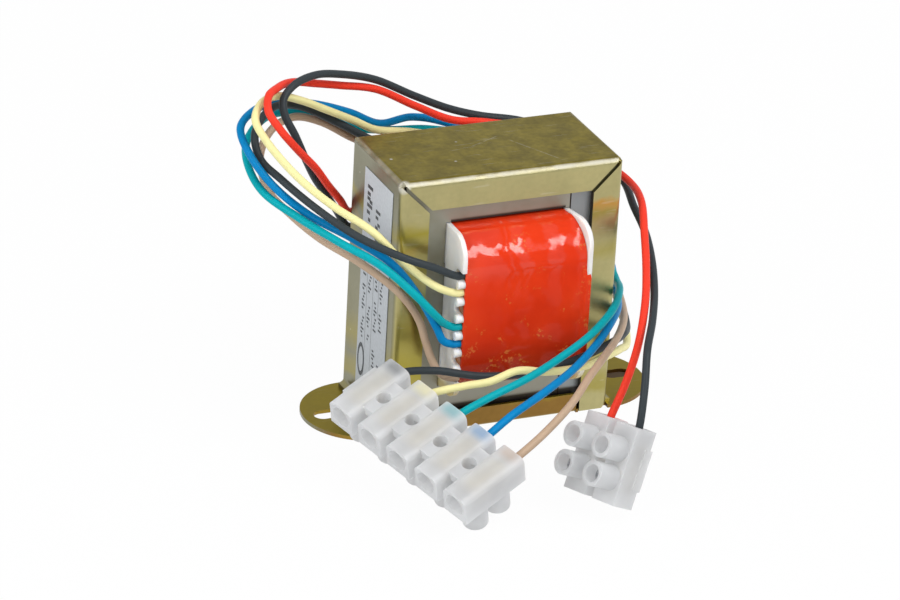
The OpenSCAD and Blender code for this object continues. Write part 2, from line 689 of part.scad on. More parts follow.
module strip_clamps(n) {
    for (k = [0:n - 1]) translate([0, pole_y(k, n), 0]) difference() {
        rotate([0, 90, 0]) cylinder(d = clamp_d, h = clamp_len, center = true);
        rotate([0, 90, 0]) cylinder(d = clamp_bore_d, h = clamp_len + 1, center = true);
        for (s = [-1, 1]) translate([s * tube_gap / 2, 0, 0])
            cylinder(d = screw_d + 2 * screw_play, h = clamp_d);
    }
}

// The screws on the leads' side rest on the copper, the others are backed out
module strip_screws(n) {
    for (k = [0:n - 1]) for (s = [-1, 1])
        translate([s * tube_gap / 2, pole_y(k, n), wire_d / 2 + (s < 0 ? backed_out : 0)]) difference() {
            union() {
                cylinder(d = screw_d, h = screw_len + 0.1);
                translate([0, 0, screw_len]) cylinder(d = head_d, h = head_h);
            }
            translate([-head_d, -driver_slot_w / 2, screw_len + head_h - driver_slot_h])
                cube([2 * head_d, driver_slot_w, head_h]);
        }
}

module strip_wire_ends(n) {
    for (k = [0:n - 1]) translate([wire_stop, pole_y(k, n), 0]) rotate([0, 90, 0])
        cylinder(d = wire_d, h = bare_at - wire_stop);
}

module five_way_place() {
    translate(five_at) rotate(five_turn) children();
}

module two_way_place() {
    translate(two_at) rotate(two_turn) children();
}

module five_way_housing() {
    color("#dcdce0") five_way_place() strip_housing(primary_poles);
}

module five_way_clamps() {
    color("#b9993f") five_way_place() strip_clamps(primary_poles);
}

module five_way_screws() {
    color("#b4b6b8") five_way_place() strip_screws(primary_poles);
}

module five_way_wire_ends() {
    color("#b87333") five_way_place() strip_wire_ends(primary_poles);
}

module two_way_housing() {
    color("#dcdce0") two_way_place() strip_housing(secondary_poles);
}

module two_way_clamps() {
    color("#b9993f") two_way_place() strip_clamps(secondary_poles);
}

module two_way_screws() {
    color("#b4b6b8") two_way_place() strip_screws(secondary_poles);
}

module two_way_wire_ends() {
    color("#b87333") two_way_place() strip_wire_ends(secondary_poles);
}

base_plate();
frame_shell();
core_e_laminations();
core_i_laminations();
bobbin();
secondary_winding();
winding_insulation();
primary_winding();
outer_tape();
rating_label();
lead_black_primary();
lead_yellow();
lead_green();
lead_blue();
lead_brown();
lead_red();
lead_black_secondary();
five_way_housing();
five_way_clamps();
five_way_screws();
five_way_wire_ends();
two_way_housing();
two_way_clamps();
two_way_screws();
two_way_wire_ends();
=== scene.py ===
# Speaker line transformer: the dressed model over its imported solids, with its stage and camera.
# Lengths are in metres, +Z is up and the coil faces -Y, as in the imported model.

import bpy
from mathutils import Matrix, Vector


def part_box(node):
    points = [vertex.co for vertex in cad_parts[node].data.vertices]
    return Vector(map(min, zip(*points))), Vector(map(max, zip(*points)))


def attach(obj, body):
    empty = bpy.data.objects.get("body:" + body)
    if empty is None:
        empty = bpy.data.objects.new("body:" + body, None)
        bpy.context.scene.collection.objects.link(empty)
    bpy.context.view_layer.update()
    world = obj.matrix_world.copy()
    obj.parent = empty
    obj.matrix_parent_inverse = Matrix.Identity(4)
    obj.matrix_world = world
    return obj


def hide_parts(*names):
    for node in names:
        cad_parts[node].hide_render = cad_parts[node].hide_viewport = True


bl_info = {
    "name": "Speaker line transformer",
    "version": (1, 0, 0),
    "blender": (4, 5, 0),
    "location": "3D View > Sidebar > Transformer",
    "description": "Dresses a small line transformer: frame, core, coil, leads and terminal strips",
    "category": "Add Mesh",
}

import math

import bmesh
import bpy
from mathutils import Euler, Matrix, Vector, noise

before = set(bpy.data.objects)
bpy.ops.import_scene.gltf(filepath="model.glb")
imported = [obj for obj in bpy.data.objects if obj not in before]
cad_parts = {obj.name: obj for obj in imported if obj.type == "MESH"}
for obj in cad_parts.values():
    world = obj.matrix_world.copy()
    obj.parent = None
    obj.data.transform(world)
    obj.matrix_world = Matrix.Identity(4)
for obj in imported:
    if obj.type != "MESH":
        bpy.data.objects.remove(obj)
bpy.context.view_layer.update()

MM = 0.001

# Route points of the leads between the comb and the terminal strips, in metres
ROUTES = {
    "black_primary": (
        (-0.0195, -0.02, 0.042), (-0.027, -0.0185, 0.045), (-0.0345, -0.0125, 0.048),
        (-0.041, -0.005, 0.052), (-0.0459, 0.0027, 0.0559), (-0.0483, 0.0089, 0.0583),
        (-0.0485, 0.012, 0.0625), (-0.043, 0.0175, 0.0655), (-0.035, 0.022, 0.0635), (-0.024, 0.0245, 0.057),
        (-0.015, 0.0255, 0.0515), (-0.005, 0.0265, 0.0485), (0.0045, 0.0275, 0.0445), (0.013, 0.028, 0.039),
        (0.0215, 0.0265, 0.0335), (0.0295, 0.022, 0.0285), (0.034, 0.0145, 0.023), (0.0355, 0.0055, 0.0175),
        (0.0335, -0.004, 0.015), (0.0285, -0.013, 0.017), (0.021, -0.02, 0.0185), (0.0115, -0.0245, 0.0185),
        (0.001, -0.0255, 0.0175), (-0.0095, -0.024, 0.0175), (-0.0195, -0.0225, 0.0195),
    ),
    "yellow": (
        (-0.019, -0.0195, 0.0375), (-0.025, -0.016, 0.042), (-0.0315, -0.013, 0.049),
        (-0.038, -0.007, 0.053), (-0.044, 0, 0.058), (-0.0485, 0.0065, 0.064), (-0.0495, 0.0095, 0.067),
        (-0.047, 0.013, 0.069), (-0.0415, 0.017, 0.0685), (-0.0355, 0.019, 0.066), (-0.0285, 0.0215, 0.062),
        (-0.0205, 0.0255, 0.057), (-0.014, 0.028, 0.053), (-0.004, 0.031, 0.05), (0.0055, 0.0335, 0.046),
        (0.014, 0.034, 0.0385), (0.022, 0.032, 0.032), (0.0295, 0.028, 0.027), (0.035, 0.0205, 0.0225),
        (0.037, 0.012, 0.017), (0.037, 0.004, 0.011), (0.0335, -0.005, 0.0105), (0.028, -0.013, 0.0135),
        (0.0216, -0.0202, 0.0162), (0.013, -0.026, 0.0175), (0.0035, -0.029, 0.019),
        (-0.0045, -0.0304, 0.021), (-0.0108, -0.0312, 0.0198), (-0.0165, -0.031, 0.0195),
    ),
    "green": (
        (-0.017, -0.02, 0.029), (-0.019, -0.021, 0.031), (-0.024, -0.021, 0.0365), (-0.031, -0.0175, 0.043),
        (-0.038, -0.011, 0.0465), (-0.0435, -0.003, 0.049), (-0.049, 0.005, 0.0525), (-0.05, 0.0115, 0.056),
        (-0.0485, 0.0165, 0.059), (-0.043, 0.0215, 0.0615), (-0.0355, 0.026, 0.0605),
        (-0.0265, 0.0285, 0.0575), (-0.0185, 0.0305, 0.053), (-0.009, 0.0325, 0.0505),
        (0.001, 0.035, 0.0485), (0.011, 0.0345, 0.046), (0.02, 0.0305, 0.042), (0.027, 0.0235, 0.037),
        (0.031, 0.016, 0.032), (0.0325, 0.0075, 0.027), (0.031, -0.0025, 0.025), (0.0274, -0.0118, 0.027),
        (0.0219, -0.0203, 0.027), (0.014, -0.0265, 0.025), (0.005, -0.0305, 0.0225),
        (-0.004, -0.0345, 0.021), (-0.014, -0.037, 0.019),
    ),
    "blue": (
        (-0.017, -0.0199, 0.0249), (-0.0184, -0.0192, 0.0279), (-0.022, -0.018, 0.0345),
        (-0.028, -0.0165, 0.0425), (-0.0345, -0.0105, 0.0465), (-0.0415, -0.0025, 0.0495),
        (-0.0476, 0.0033, 0.0546), (-0.051, 0.0089, 0.0601), (-0.051, 0.014, 0.0635),
        (-0.0465, 0.0185, 0.065), (-0.0385, 0.023, 0.0645), (-0.029, 0.026, 0.0615), (-0.02, 0.0285, 0.0575),
        (-0.012, 0.031, 0.053), (-0.003, 0.0345, 0.052), (0.0065, 0.037, 0.0485), (0.016, 0.035, 0.044),
        (0.024, 0.0305, 0.0395), (0.0305, 0.024, 0.035), (0.034, 0.0155, 0.0305), (0.034, 0.007, 0.025),
        (0.0315, -0.0025, 0.0215), (0.0275, -0.0115, 0.023), (0.022, -0.02, 0.024), (0.015, -0.0275, 0.023),
        (0.007, -0.034, 0.0215), (-0.002, -0.0395, 0.02), (-0.0115, -0.044, 0.018),
    ),
    "brown": (
        (-0.017, -0.019, 0.017), (-0.0185, -0.0175, 0.02), (-0.0195, -0.0165, 0.0235),
        (-0.021, -0.0155, 0.0285), (-0.026, -0.0155, 0.0355), (-0.033, -0.0105, 0.041),
        (-0.039, -0.003, 0.044), (-0.043, 0.0045, 0.047), (-0.0455, 0.011, 0.05), (-0.0455, 0.016, 0.0555),
        (-0.042, 0.0195, 0.0595), (-0.0355, 0.023, 0.0605), (-0.028, 0.0255, 0.0575),
        (-0.0195, 0.027, 0.052), (-0.011, 0.029, 0.0475), (-0.0015, 0.0305, 0.0445), (0.0085, 0.031, 0.042),
        (0.0175, 0.0295, 0.0385), (0.025, 0.026, 0.034), (0.0305, 0.0195, 0.0295), (0.033, 0.0115, 0.025),
        (0.034, 0.0035, 0.0205), (0.0315, -0.006, 0.0195), (0.027, -0.0155, 0.021), (0.0215, -0.024, 0.022),
        (0.015, -0.032, 0.0225), (0.008, -0.0395, 0.022), (0.0005, -0.0468, 0.02), (-0.008, -0.0518, 0.0166),
    ),
    "red": (
        (-0.02, 0.0195, 0.039), (-0.0245, 0.0165, 0.04), (-0.0275, 0.014, 0.044), (-0.0315, 0.0115, 0.049),
        (-0.036, 0.0085, 0.055), (-0.0405, 0.007, 0.06), (-0.045, 0.0065, 0.0655), (-0.047, 0.0085, 0.069),
        (-0.046, 0.0115, 0.071), (-0.0425, 0.0155, 0.071), (-0.0375, 0.02, 0.07), (-0.0305, 0.0235, 0.0675),
        (-0.024, 0.0255, 0.0655), (-0.015, 0.027, 0.063), (-0.005, 0.028, 0.0575), (0.004, 0.0285, 0.053),
        (0.012, 0.0285, 0.0515), (0.0205, 0.0265, 0.05), (0.0285, 0.021, 0.048), (0.0335, 0.012, 0.046),
        (0.035, 0.002, 0.0455), (0.033, -0.008, 0.0455), (0.0295, -0.0175, 0.0425), (0.026, -0.0265, 0.0385),
        (0.0215, -0.036, 0.035), (0.017, -0.043, 0.0295), (0.013, -0.0465, 0.023),
    ),
    "black_secondary": (
        (-0.02, 0.02, 0.035), (-0.0235, 0.0185, 0.0355), (-0.0275, 0.0165, 0.041), (-0.031, 0.014, 0.046),
        (-0.0345, 0.012, 0.051), (-0.0375, 0.0105, 0.0565), (-0.04, 0.0105, 0.062), (-0.042, 0.012, 0.0665),
        (-0.0415, 0.014, 0.069), (-0.0385, 0.016, 0.071), (-0.032, 0.02, 0.071), (-0.025, 0.0235, 0.069),
        (-0.015, 0.0275, 0.065), (-0.0045, 0.03, 0.059), (0.0045, 0.031, 0.0545), (0.012, 0.031, 0.052),
        (0.0205, 0.0295, 0.0505), (0.0285, 0.0255, 0.0485), (0.0345, 0.0185, 0.046), (0.0365, 0.0085, 0.043),
        (0.0345, -0.0015, 0.0415), (0.0325, -0.012, 0.04), (0.0295, -0.022, 0.038), (0.026, -0.031, 0.0355),
        (0.0215, -0.04, 0.0335), (0.0165, -0.0485, 0.031), (0.014, -0.0535, 0.025),
    ),
}

# Each lead: its strip, its pole there, its notch in the comb, its side of the bobbin,
# its length in metres and its material slot in the record
LEADS = {
    "black_primary": ("five_way", 0, 0, -1, 0.2575, "black_pvc"),
    "yellow": ("five_way", 1, 1, -1, 0.2708, "yellow_pvc"),
    "green": ("five_way", 2, 3, -1, 0.2602, "green_pvc"),
    "blue": ("five_way", 3, 4, -1, 0.2722, "blue_pvc"),
    "brown": ("five_way", 4, 6, -1, 0.2645, "brown_pvc"),
    "red": ("two_way", 1, 0, 1, 0.2326, "red_pvc"),
    "black_secondary": ("two_way", 0, 1, 1, 0.2332, "black_pvc"),
}

# How each terminal strip lies: its middle, its turns about X, Y and Z in degrees, and its poles
STRIPS = {
    "five_way": ((-0.0293, -0.0416, 0.0142591), (-167.5, -19.5, 18), 5),
    "two_way": ((0.0076, -0.0539, 0.0095556), (-14.5, -63.5, 31), 2),
}
POLE_PITCH = 8.6 * MM

# Where each lead enters its pole: the start of its straight end and its end, from the strip's middle
LEAD_ENTRY = (8.5 * MM, 6 * MM)
LEAD_STEP = 0.5 * MM

# The clamping screws: their place beside the strip's middle, and their tips' height when tight and when open
SCREW_REACH = 3.1 * MM
SCREW_TIGHT = 0.5 * MM
SCREW_OPEN = 1.5 * MM

# One screw in millimetres: radius and height of each ring of its shank,
# and of each ring of its head, with half the slot's width there
SCREW_SHANK = ((0.9, 0.0), (1.2, 0.3), (1.2, 3.6), (1.62, 3.6), (1.7, 3.68), (1.7, 4.3))
SCREW_HEAD = ((1.7, 4.29, 0.3), (1.7, 4.86, 0.3), (1.56, 5.0, 0.38))
SCREW_SIDES = 24
HEAD_STEPS = 10

# Rounding of edges that keep one size
BRASS_EDGE = 0.1 * MM
PUNCHED_EDGE = 0.08 * MM
PAPER_EDGE = 0.04 * MM

# The frame and the core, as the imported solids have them, with the joint of the front packet's E and I
FRAME_TOP = 59.0 * MM
FRAME_HALF_WIDTH = 25.55 * MM
FRAME_HALF_DEPTH = 13.6 * MM
CORE_FRONT = -12.0 * MM
CORE_JOINT = 14.25 * MM

# Scratches on the frame's top: the middle of each in metres, its turn in degrees, its length,
# and then how far their core and rim reach to each side, and over what length their ends fade
SCRATCHES = (
    ((0.0003, 0.0029, 0.0), 26.0, 0.0089),
    ((0.0088, -0.0040, 0.0), -62.5, 0.0140),
    ((-0.0040, -0.0033, 0.0), -31.0, 0.0024),
)
SCRATCH_CORE = 0.06 * MM
SCRATCH_RIM = 0.16 * MM
SCRATCH_FADE = 0.8 * MM

# The coil and the comb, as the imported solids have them. The right flange leans out more and more
# between two distances from the middle.
COIL_MIDDLE = 29.3 * MM
COIL_HALF_DEPTH = 21.05 * MM
COIL_HALF_HEIGHT = 18.55 * MM
COIL_CORNER = 8.5 * MM
COIL_END = 13.1 * MM
LEAN = 1.7 * MM
LEAN_FROM = 12.3 * MM
LEAN_TO = 21.5 * MM
COMB_MIDDLE = 27.75 * MM
COMB_NOTCHES = 7
NOTCH_PITCH = 3.95 * MM
NOTCH_DEPTH = 19.8 * MM
KNOB_LENGTH = 1.6 * MM

# The tape: its build, its single film, its play between the flanges, how far it folds over the leaning one,
# and its steps across, round each corner of the coil and along each flat
TAPE_DEPTH = 0.55 * MM
FILM_DEPTH = 0.05 * MM
TAPE_PLAY = 0.03 * MM
FOLD_REACH = 1.05 * MM
FOLD_LIFT = 0.56 * MM
TAPE_STEPS = 96
CORNER_STEPS = 24
FLAT_STEPS = 60

# The label's plain marks in millimetres. Each row has its distance from the back edge, its marks' height,
# and its groups, each with its start above the lower edge and its count of marks.
LABEL_ROWS = (
    (1.9, 2.8, ((38.2, 5), (44.0, 3))),
    (6.7, 2.5, ((35.5, 4), (40.6, 3))),
    (11.2, 2.5, ((35.0, 4),)),
    (1.6, 1.6, ((12.4, 6), (19.0, 7), (27.0, 5), (33.0, 3))),
    (4.6, 1.6, ((13.0, 2), (16.0, 6), (24.0, 7))),
    (8.1, 1.6, ((8.0, 5), (16.5, 8), (26.0, 5))),
    (10.9, 1.6, ((6.5, 4), (17.6, 5), (24.2, 6))),
)
# The marks that a group takes in turn, as the shares of the row's height that each begins and ends at
LABEL_MARKS = (
    (0.0, 1.0), (0.0, 0.6), (0.3, 0.75), (0.45, 1.0), (0.0, 0.6), (0.0, 1.0), (0.3, 0.75), (0.0, 0.6),
)
# Rules, each with its distance from the back edge and both ends, and a plain oval ring near the lower end
LABEL_RULES = ((3.9, 2.5, 36.0), (7.2, 5.0, 33.0), (10.2, 20.0, 33.0))
RULE_WIDTH = 0.14
OVAL_MIDDLE = (2.4, 7.2)
OVAL_RINGS = ((1.9, 3.9), (1.2, 2.9))
OVAL_SIDES = 28
PRINT_LIFT = 0.004 * MM

# The camera, fitted to the photograph, and the middle of the painted shade under the right ear's slot
CAMERA_EYE = Vector((-0.40856, -0.88271, 0.47591))
CAMERA_AIM = Vector((-0.0064, 0.00116, 0.02346))
SLOT_SHADE = (34.3 * MM, 0.7 * MM, 0.0)

# Each lamp: its name, its direction and distance from the object's middle, its width and height in metres,
# its watts, whether it shows in gloss, and whether it lights matt surfaces
LAMP_AIM = Vector((0, 0, 0.03))
LAMPS = (
    ("overhead_fill", (0.38, -0.42, 0.82), 1.0, 0.55, 0.45, 4.6, False, True),
    ("window", (0.326, -0.584, 0.743), 1.2, 0.18, 1.00, 6.4, True, False),
    ("front_fill", (0.30, -0.85, 0.42), 1.3, 0.60, 0.50, 2.3, False, True),
    ("left_fill", (-0.75, -0.35, 0.55), 1.1, 0.50, 0.50, 1.7, False, True),
    ("side_softbox", (-0.85, -0.35, 0.45), 1.2, 0.5, 0.6, 4.0, True, True),
)


def linear(hex_colour):
    """An sRGB hex colour as linear red, green, blue and full alpha."""
    channels = [int(hex_colour[i:i + 2], 16) / 255 for i in (1, 3, 5)]
    bent = [c / 12.92 if c <= 0.04045 else ((c + 0.055) / 1.055) ** 2.4 for c in channels]
    return (*bent, 1.0)


class TransformerSizes(bpy.types.PropertyGroup):
    """Sizes that the dressed pieces are made with."""

    lead_diameter: bpy.props.FloatProperty(
        name="Lead diameter", description="Outer diameter of each insulated lead",
        default=0.0017, min=0.001, max=0.002, precision=5, unit="LENGTH")
    sheet_edge: bpy.props.FloatProperty(
        name="Sheet edge", description="Rounding of the stamped sheet's cut edges",
        default=0.00012, min=0.00002, max=0.0003, precision=5, unit="LENGTH")
    moulded_edge: bpy.props.FloatProperty(
        name="Moulded edge", description="Rounding of the moulded plastic edges",
        default=0.00022, min=0.00005, max=0.0004, precision=5, unit="LENGTH")
    tape_wrinkle: bpy.props.FloatProperty(
        name="Tape wrinkle", description="Height of the larger wrinkles in the coil's tape",
        default=0.0002, min=0.0, max=0.0004, precision=5, unit="LENGTH")
    lens: bpy.props.FloatProperty(
        name="Lens", description="Focal length of the camera on a 36 mm sensor",
        default=0.2, min=0.05, max=0.4, unit="CAMERA")
    roll: bpy.props.FloatProperty(
        name="Camera roll", description="Turn of the camera about its own line of sight",
        default=math.radians(3.2765), subtype="ANGLE")


def finish_colour(name, description, colour):
    """A colour property, with its default written as hex."""
    return bpy.props.FloatVectorProperty(
        name=name, description=description, subtype="COLOR", size=4, min=0, max=1, default=linear(colour))


class TransformerColours(bpy.types.PropertyGroup):
    """Colours of the finishes, written as sRGB and kept as linear values."""

    chromate: finish_colour("Chromate", "Pale olive gold of the passivated zinc plate", "#BDB480")
    base_chromate: finish_colour("Base chromate", "Deeper gold of the base plate's own bath", "#A89322")
    lamination: finish_colour("Laminations", "Varnished silicon steel", "#9E9C8D")
    nylon: finish_colour("Bobbin", "Natural nylon", "#EEECE7")
    tape: finish_colour("Tape", "Red polyester film", "#DB3A19")
    strip: finish_colour("Terminal strips", "Natural polyethylene", "#C4C5C6")
    black: finish_colour("Black leads", "Black PVC insulation", "#383E41")
    yellow: finish_colour("Yellow lead", "Pale yellow PVC insulation", "#EFE7A6")
    green: finish_colour("Green lead", "Teal green PVC insulation", "#00A3AC")
    blue: finish_colour("Blue lead", "Blue PVC insulation", "#0080BC")
    brown: finish_colour("Brown lead", "Tan brown PVC insulation", "#BBA188")
    red: finish_colour("Red lead", "Red PVC insulation", "#F0402D")


# Material helpers

def shade(value):
    """A stop's colour: hex is made linear, a number is a grey, and other colours stay as they are."""
    if isinstance(value, str):
        return linear(value)
    if isinstance(value, float):
        return (value, value, value, 1.0)
    return value


def add(tree, kind, inputs=None, stops=(), **settings):
    """Adds a node with its settings and colour stops, and fills its sockets with values or links.
    The kind is the node's type without the tree's own prefix, ShaderNode or GeometryNode.
    A node that is given as a value is linked from its first output in use."""
    node = tree.nodes.new(tree.bl_idname.removesuffix("Tree") + kind)
    for key, value in settings.items():
        setattr(node, key, value)
    for i, (place, colour) in enumerate(stops):
        stop = node.color_ramp.elements[i] if i < 2 else node.color_ramp.elements.new(place)
        stop.position = place
        stop.color = shade(colour)
    for key, value in (inputs or {}).items():
        if isinstance(value, bpy.types.Node):
            value = next(output for output in value.outputs if output.enabled)
        if isinstance(value, bpy.types.NodeSocket):
            tree.links.new(value, node.inputs[key])
        else:
            node.inputs[key].default_value = linear(value) if isinstance(value, str) else value
    return node


def blank(name):
    """A new material with an empty tree, and the place on the piece that its patterns read."""
    material = bpy.data.materials.new(name)
    material.use_nodes = True
    tree = material.node_tree
    tree.nodes.clear()
    return material, tree, add(tree, "TexCoord").outputs["Object"]


def surfaced(material, **sockets):
    """Gives a material its shader, with a value or a link for each socket that is named."""
    inputs = {key.replace("_", " ").title().replace("Ior", "IOR"): value for key, value in sockets.items()}
    shader = add(material.node_tree, "BsdfPrincipled", inputs)
    add(material.node_tree, "OutputMaterial", {"Surface": shader})
    return material


def mottled(tree, place, scale, detail, *stops):
    """Clouds of that scale, and the colours that they run through."""
    clouds = add(tree, "TexNoise", {"Vector": place, "Scale": scale, "Detail": detail})
    return clouds, add(tree, "ValToRGB", {0: clouds}, stops)


def layered(tree, colour, *layers):
    """The colour under several layers, each given as its share, its tint and how it blends."""
    for share, tint, blend in layers:
        inputs = {0: share, 6: colour, 7: tint}
        colour = add(tree, "Mix", inputs, data_type="RGBA", blend_type=blend)
    return colour


# Finishes

def scratch_line(tree, place, middle, turn, length):
    """How far a place lies on one straight scratch, seen from above: 1 on it and 0 off it."""
    lie = {"Vector": place, "Location": middle, "Rotation": (0.0, 0.0, math.radians(turn))}
    own = add(tree, "Mapping", lie, vector_type="TEXTURE")
    along, aside, _ = add(tree, "SeparateXYZ", {0: own}).outputs
    along = add(tree, "Math", {0: along}, operation="ABSOLUTE")
    aside = add(tree, "Math", {0: aside}, operation="ABSOLUTE")
    aside = add(tree, "MapRange", {0: aside, 1: SCRATCH_RIM, 2: SCRATCH_CORE})
    return add(tree, "MapRange", {0: along, 1: length / 2, 2: length / 2 - SCRATCH_FADE, 4: aside})


def chromated_zinc(name, film, upright):
    """Yellow chromate over zinc plate on rolled steel: a thin olive gold film on satin metal, cloudy from the
    bath, with painted reflection as a colour of its own on upright faces where one is given, a deeper olive
    on the top and a greyer tint on left faces; dried drips, whose yellow low on the left flange also paints
    its yellower reflection; painted shade down the right flange's inner edge; bends worn to pale zinc that
    also paint their highlight; faint scratches and a few pale specks."""
    material, tree, place = blank(name)
    x, y, z = add(tree, "SeparateXYZ", {0: place}).outputs
    normal = add(tree, "NewGeometry").outputs["True Normal"]
    rightward, backward, upward = add(tree, "SeparateXYZ", {0: normal}).outputs
    # Clouds of the bath, about 9 mm across, and the upright faces, which take a colour of their own where one
    # is given: a painted reflection
    clouds, depth = mottled(tree, place, 110.0, 3.0, (0.3, 0.84), (0.65, 1.0))
    level = add(tree, "Math", {0: upward}, operation="ABSOLUTE")
    level = add(tree, "MapRange", {0: level, 1: 0.4, 2: 0.8})
    # The top takes a deeper olive and the left faces a greyer tint, both painted reflection
    top = add(tree, "MapRange", {0: z, 1: FRAME_TOP - 1.0 * MM, 2: FRAME_TOP - 0.1 * MM})
    left = add(tree, "MapRange", {0: rightward, 1: -0.75, 2: -0.98})
    # Grain of the rolled sheet, about 1 mm across, and blotches of 4 mm on the top
    dents, grain = mottled(tree, place, 900.0, 4.0, (0.35, 0.82), (0.62, 1.0))
    heavy = add(tree, "MapRange", {0: top, 3: 0.3, 4: 1.0})
    stains, blotch = mottled(tree, place, 260.0, 4.0, (0.36, 0.78), (0.64, 1.08))
    # Dried drips: olive bands across both flanges, yellow stains down the left one, which low down also paint
    # its yellower reflection, and an orange band higher on the right than on the left
    height = add(tree, "Math", {0: clouds, 1: 7 * MM, 2: z}, operation="MULTIPLY_ADD")
    share = add(tree, "MapRange", {0: height, 1: 3.5 * MM, 2: 63.5 * MM})
    olive = add(tree, "ValToRGB", {0: share}, (
        (0.075, 0.0), (0.10, 0.6), (0.14, 0.45), (0.18, 0.0), (0.25, 0.6), (0.34, 0.1), (0.58, 0.0),
        (0.63, 0.45), (0.67, 0.0), (0.745, 0.0), (0.78, 0.65), (0.82, 0.0)))
    yellow = add(tree, "ValToRGB", {0: share}, (
        (0.05, 0.35), (0.22, 0.5), (0.42, 0.55), (0.50, 0.1), (0.66, 0.1), (0.72, 0.55), (0.78, 0.45),
        (0.84, 0.0)))
    front = add(tree, "MapRange", {0: backward, 1: -0.6, 2: -0.9})
    far = add(tree, "MapRange", {0: x, 1: -15 * MM, 2: -17 * MM, 4: front})
    yellow = add(tree, "Math", {0: yellow, 1: far}, operation="MULTIPLY")
    side = add(tree, "Math", {0: x}, operation="SIGN")
    moved = add(tree, "Math", {0: side, 1: -0.05, 2: share}, operation="MULTIPLY_ADD")
    orange = add(tree, "ValToRGB", {0: moved}, ((0.73, 0.0), (0.76, 0.75), (0.78, 0.0)))
    amount = add(tree, "MapRange", {0: side, 1: -1.0, 2: 1.0, 3: 0.25, 4: 1.0})
    orange = add(tree, "Math", {0: orange, 1: amount}, operation="MULTIPLY")
    # Sheared edges under the upper flange; down the inside edge of the right flange, painted shade for the
    # dark gap beside the core
    under = add(tree, "MapRange", {0: upward, 1: -0.8, 2: -0.95})
    inner = add(tree, "Math", {0: x, 1: 15 * MM}, operation="GREATER_THAN")
    inner = add(tree, "Math", {0: left, 1: inner}, operation="MULTIPLY")
    # Scratches along the sheet, drawn about 0.25 mm wide so that they show, and plainer on the top
    stretch = {"Vector": place, "Rotation": (0.0, 0.0, 0.6), "Scale": (120.0, 4200.0, 900.0)}
    turned = add(tree, "Mapping", stretch)
    scratch = add(tree, "TexNoise", {"Vector": turned, "Scale": 1.0, "Detail": 2.0})
    plain = add(tree, "MapRange", {0: top, 3: 0.12, 4: 0.5})
    worn = add(tree, "MapRange", {0: scratch, 1: 0.68, 2: 0.74, 4: plain})
    # Three longer scratches on the top, broken by the sheet's grain
    broken = add(tree, "MapRange", {0: dents, 1: 0.38, 2: 0.58, 3: 0.05, 4: 0.32})
    broken = add(tree, "Math", {0: broken, 1: top}, operation="MULTIPLY")
    for middle, turn, length in SCRATCHES:
        line = scratch_line(tree, place, middle, turn, length)
        line = add(tree, "Math", {0: line, 1: broken}, operation="MULTIPLY")
        worn = add(tree, "Math", {0: worn, 1: line}, operation="MAXIMUM")
    # Pale specks where the film is broken, in some cells of a pattern that are 5 mm apart
    cells = add(tree, "TexVoronoi", {"Vector": place, "Scale": 200.0, "Randomness": 1.0})
    chance = add(tree, "Math", {0: cells.outputs["Color"], 1: 0.72}, operation="GREATER_THAN")
    speck = add(tree, "MapRange", {0: cells.outputs["Distance"], 1: 0.09, 2: 0.04, 4: chance})
    # The upper bends and their corner, worn to bare zinc, which also paints a pale highlight along them
    ahead = add(tree, "Math", {0: z, 1: y}, operation="SUBTRACT")
    patchy = add(tree, "MapRange", {0: stains, 1: 0.40, 2: 0.58, 3: 0.35, 4: 0.75})
    bend = FRAME_TOP + FRAME_HALF_DEPTH
    wear_and_highlight = add(tree, "MapRange", {0: ahead, 1: bend - 1.10 * MM, 2: bend - 0.88 * MM, 4: patchy})
    # Along the right bend the pale line is a painted highlight as well as wear
    out = add(tree, "Math", {0: x}, operation="ABSOLUTE")
    out = add(tree, "Math", {0: z, 1: out}, operation="ADD")
    bend = FRAME_TOP + FRAME_HALF_WIDTH
    beside = add(tree, "MapRange", {0: out, 1: bend - 1.15 * MM, 2: bend - 0.93 * MM, 4: 0.9})
    beside = add(tree, "Math", {0: beside, 1: stains}, operation="MULTIPLY")
    tip = (0.35 * MM - FRAME_HALF_WIDTH, 0.3 * MM - FRAME_HALF_DEPTH, FRAME_TOP - 0.4 * MM)
    away = add(tree, "VectorMath", {0: place, 1: tip}, operation="DISTANCE")
    corner = add(tree, "MapRange", {0: away, 1: 2.2 * MM, 2: 1.4 * MM, 4: 0.8})
    for other in (beside, corner):
        wear_and_highlight = add(tree, "Math", {0: wear_and_highlight, 1: other}, operation="MAXIMUM")
    for other in (speck, wear_and_highlight):
        worn = add(tree, "Math", {0: worn, 1: other}, operation="MAXIMUM")
    # Painted reflection in these layers: the upright faces' colour, the top's deeper olive and the left
    # faces' greyer tint
    colour = layered(
        tree, upright, (level, film, "MIX"), (1.0, depth, "MULTIPLY"),
        (top, "#A59336", "MIX"), (left, "#86846C", "MIX"),
        (heavy, grain, "MULTIPLY"), (top, blotch, "MULTIPLY"),
        (olive, "#A0922F", "MIX"), (yellow, "#AFA02E", "MIX"), (orange, "#C98F3A", "MIX"),
        (under, "#B9793C", "MIX"), (inner, "#4A3D2C", "MIX"), (worn, "#EEECE2", "MIX"))
    rough = add(tree, "MapRange", {0: clouds, 1: 0.3, 2: 0.7, 3: 0.30, 4: 0.40})
    rough = add(tree, "Math", {0: wear_and_highlight, 1: 0.45, 2: rough}, operation="MULTIPLY_ADD")
    bump = add(tree, "Bump", {"Strength": 0.12, "Distance": 0.08 * MM, "Height": dents})
    return surfaced(material, base_color=colour, metallic=1.0, roughness=rough, normal=bump)


def sheared_edge():
    """The sheared edge of that sheet: thinner film over burnished metal, brighter and more orange."""
    material, tree, place = blank("sheared_chromated_edge")
    _, tone = mottled(tree, place, 900.0, 3.0, (0.35, "#B98F52"), (0.65, "#DCCB98"))
    return surfaced(material, base_color=tone, metallic=1.0, roughness=0.28)


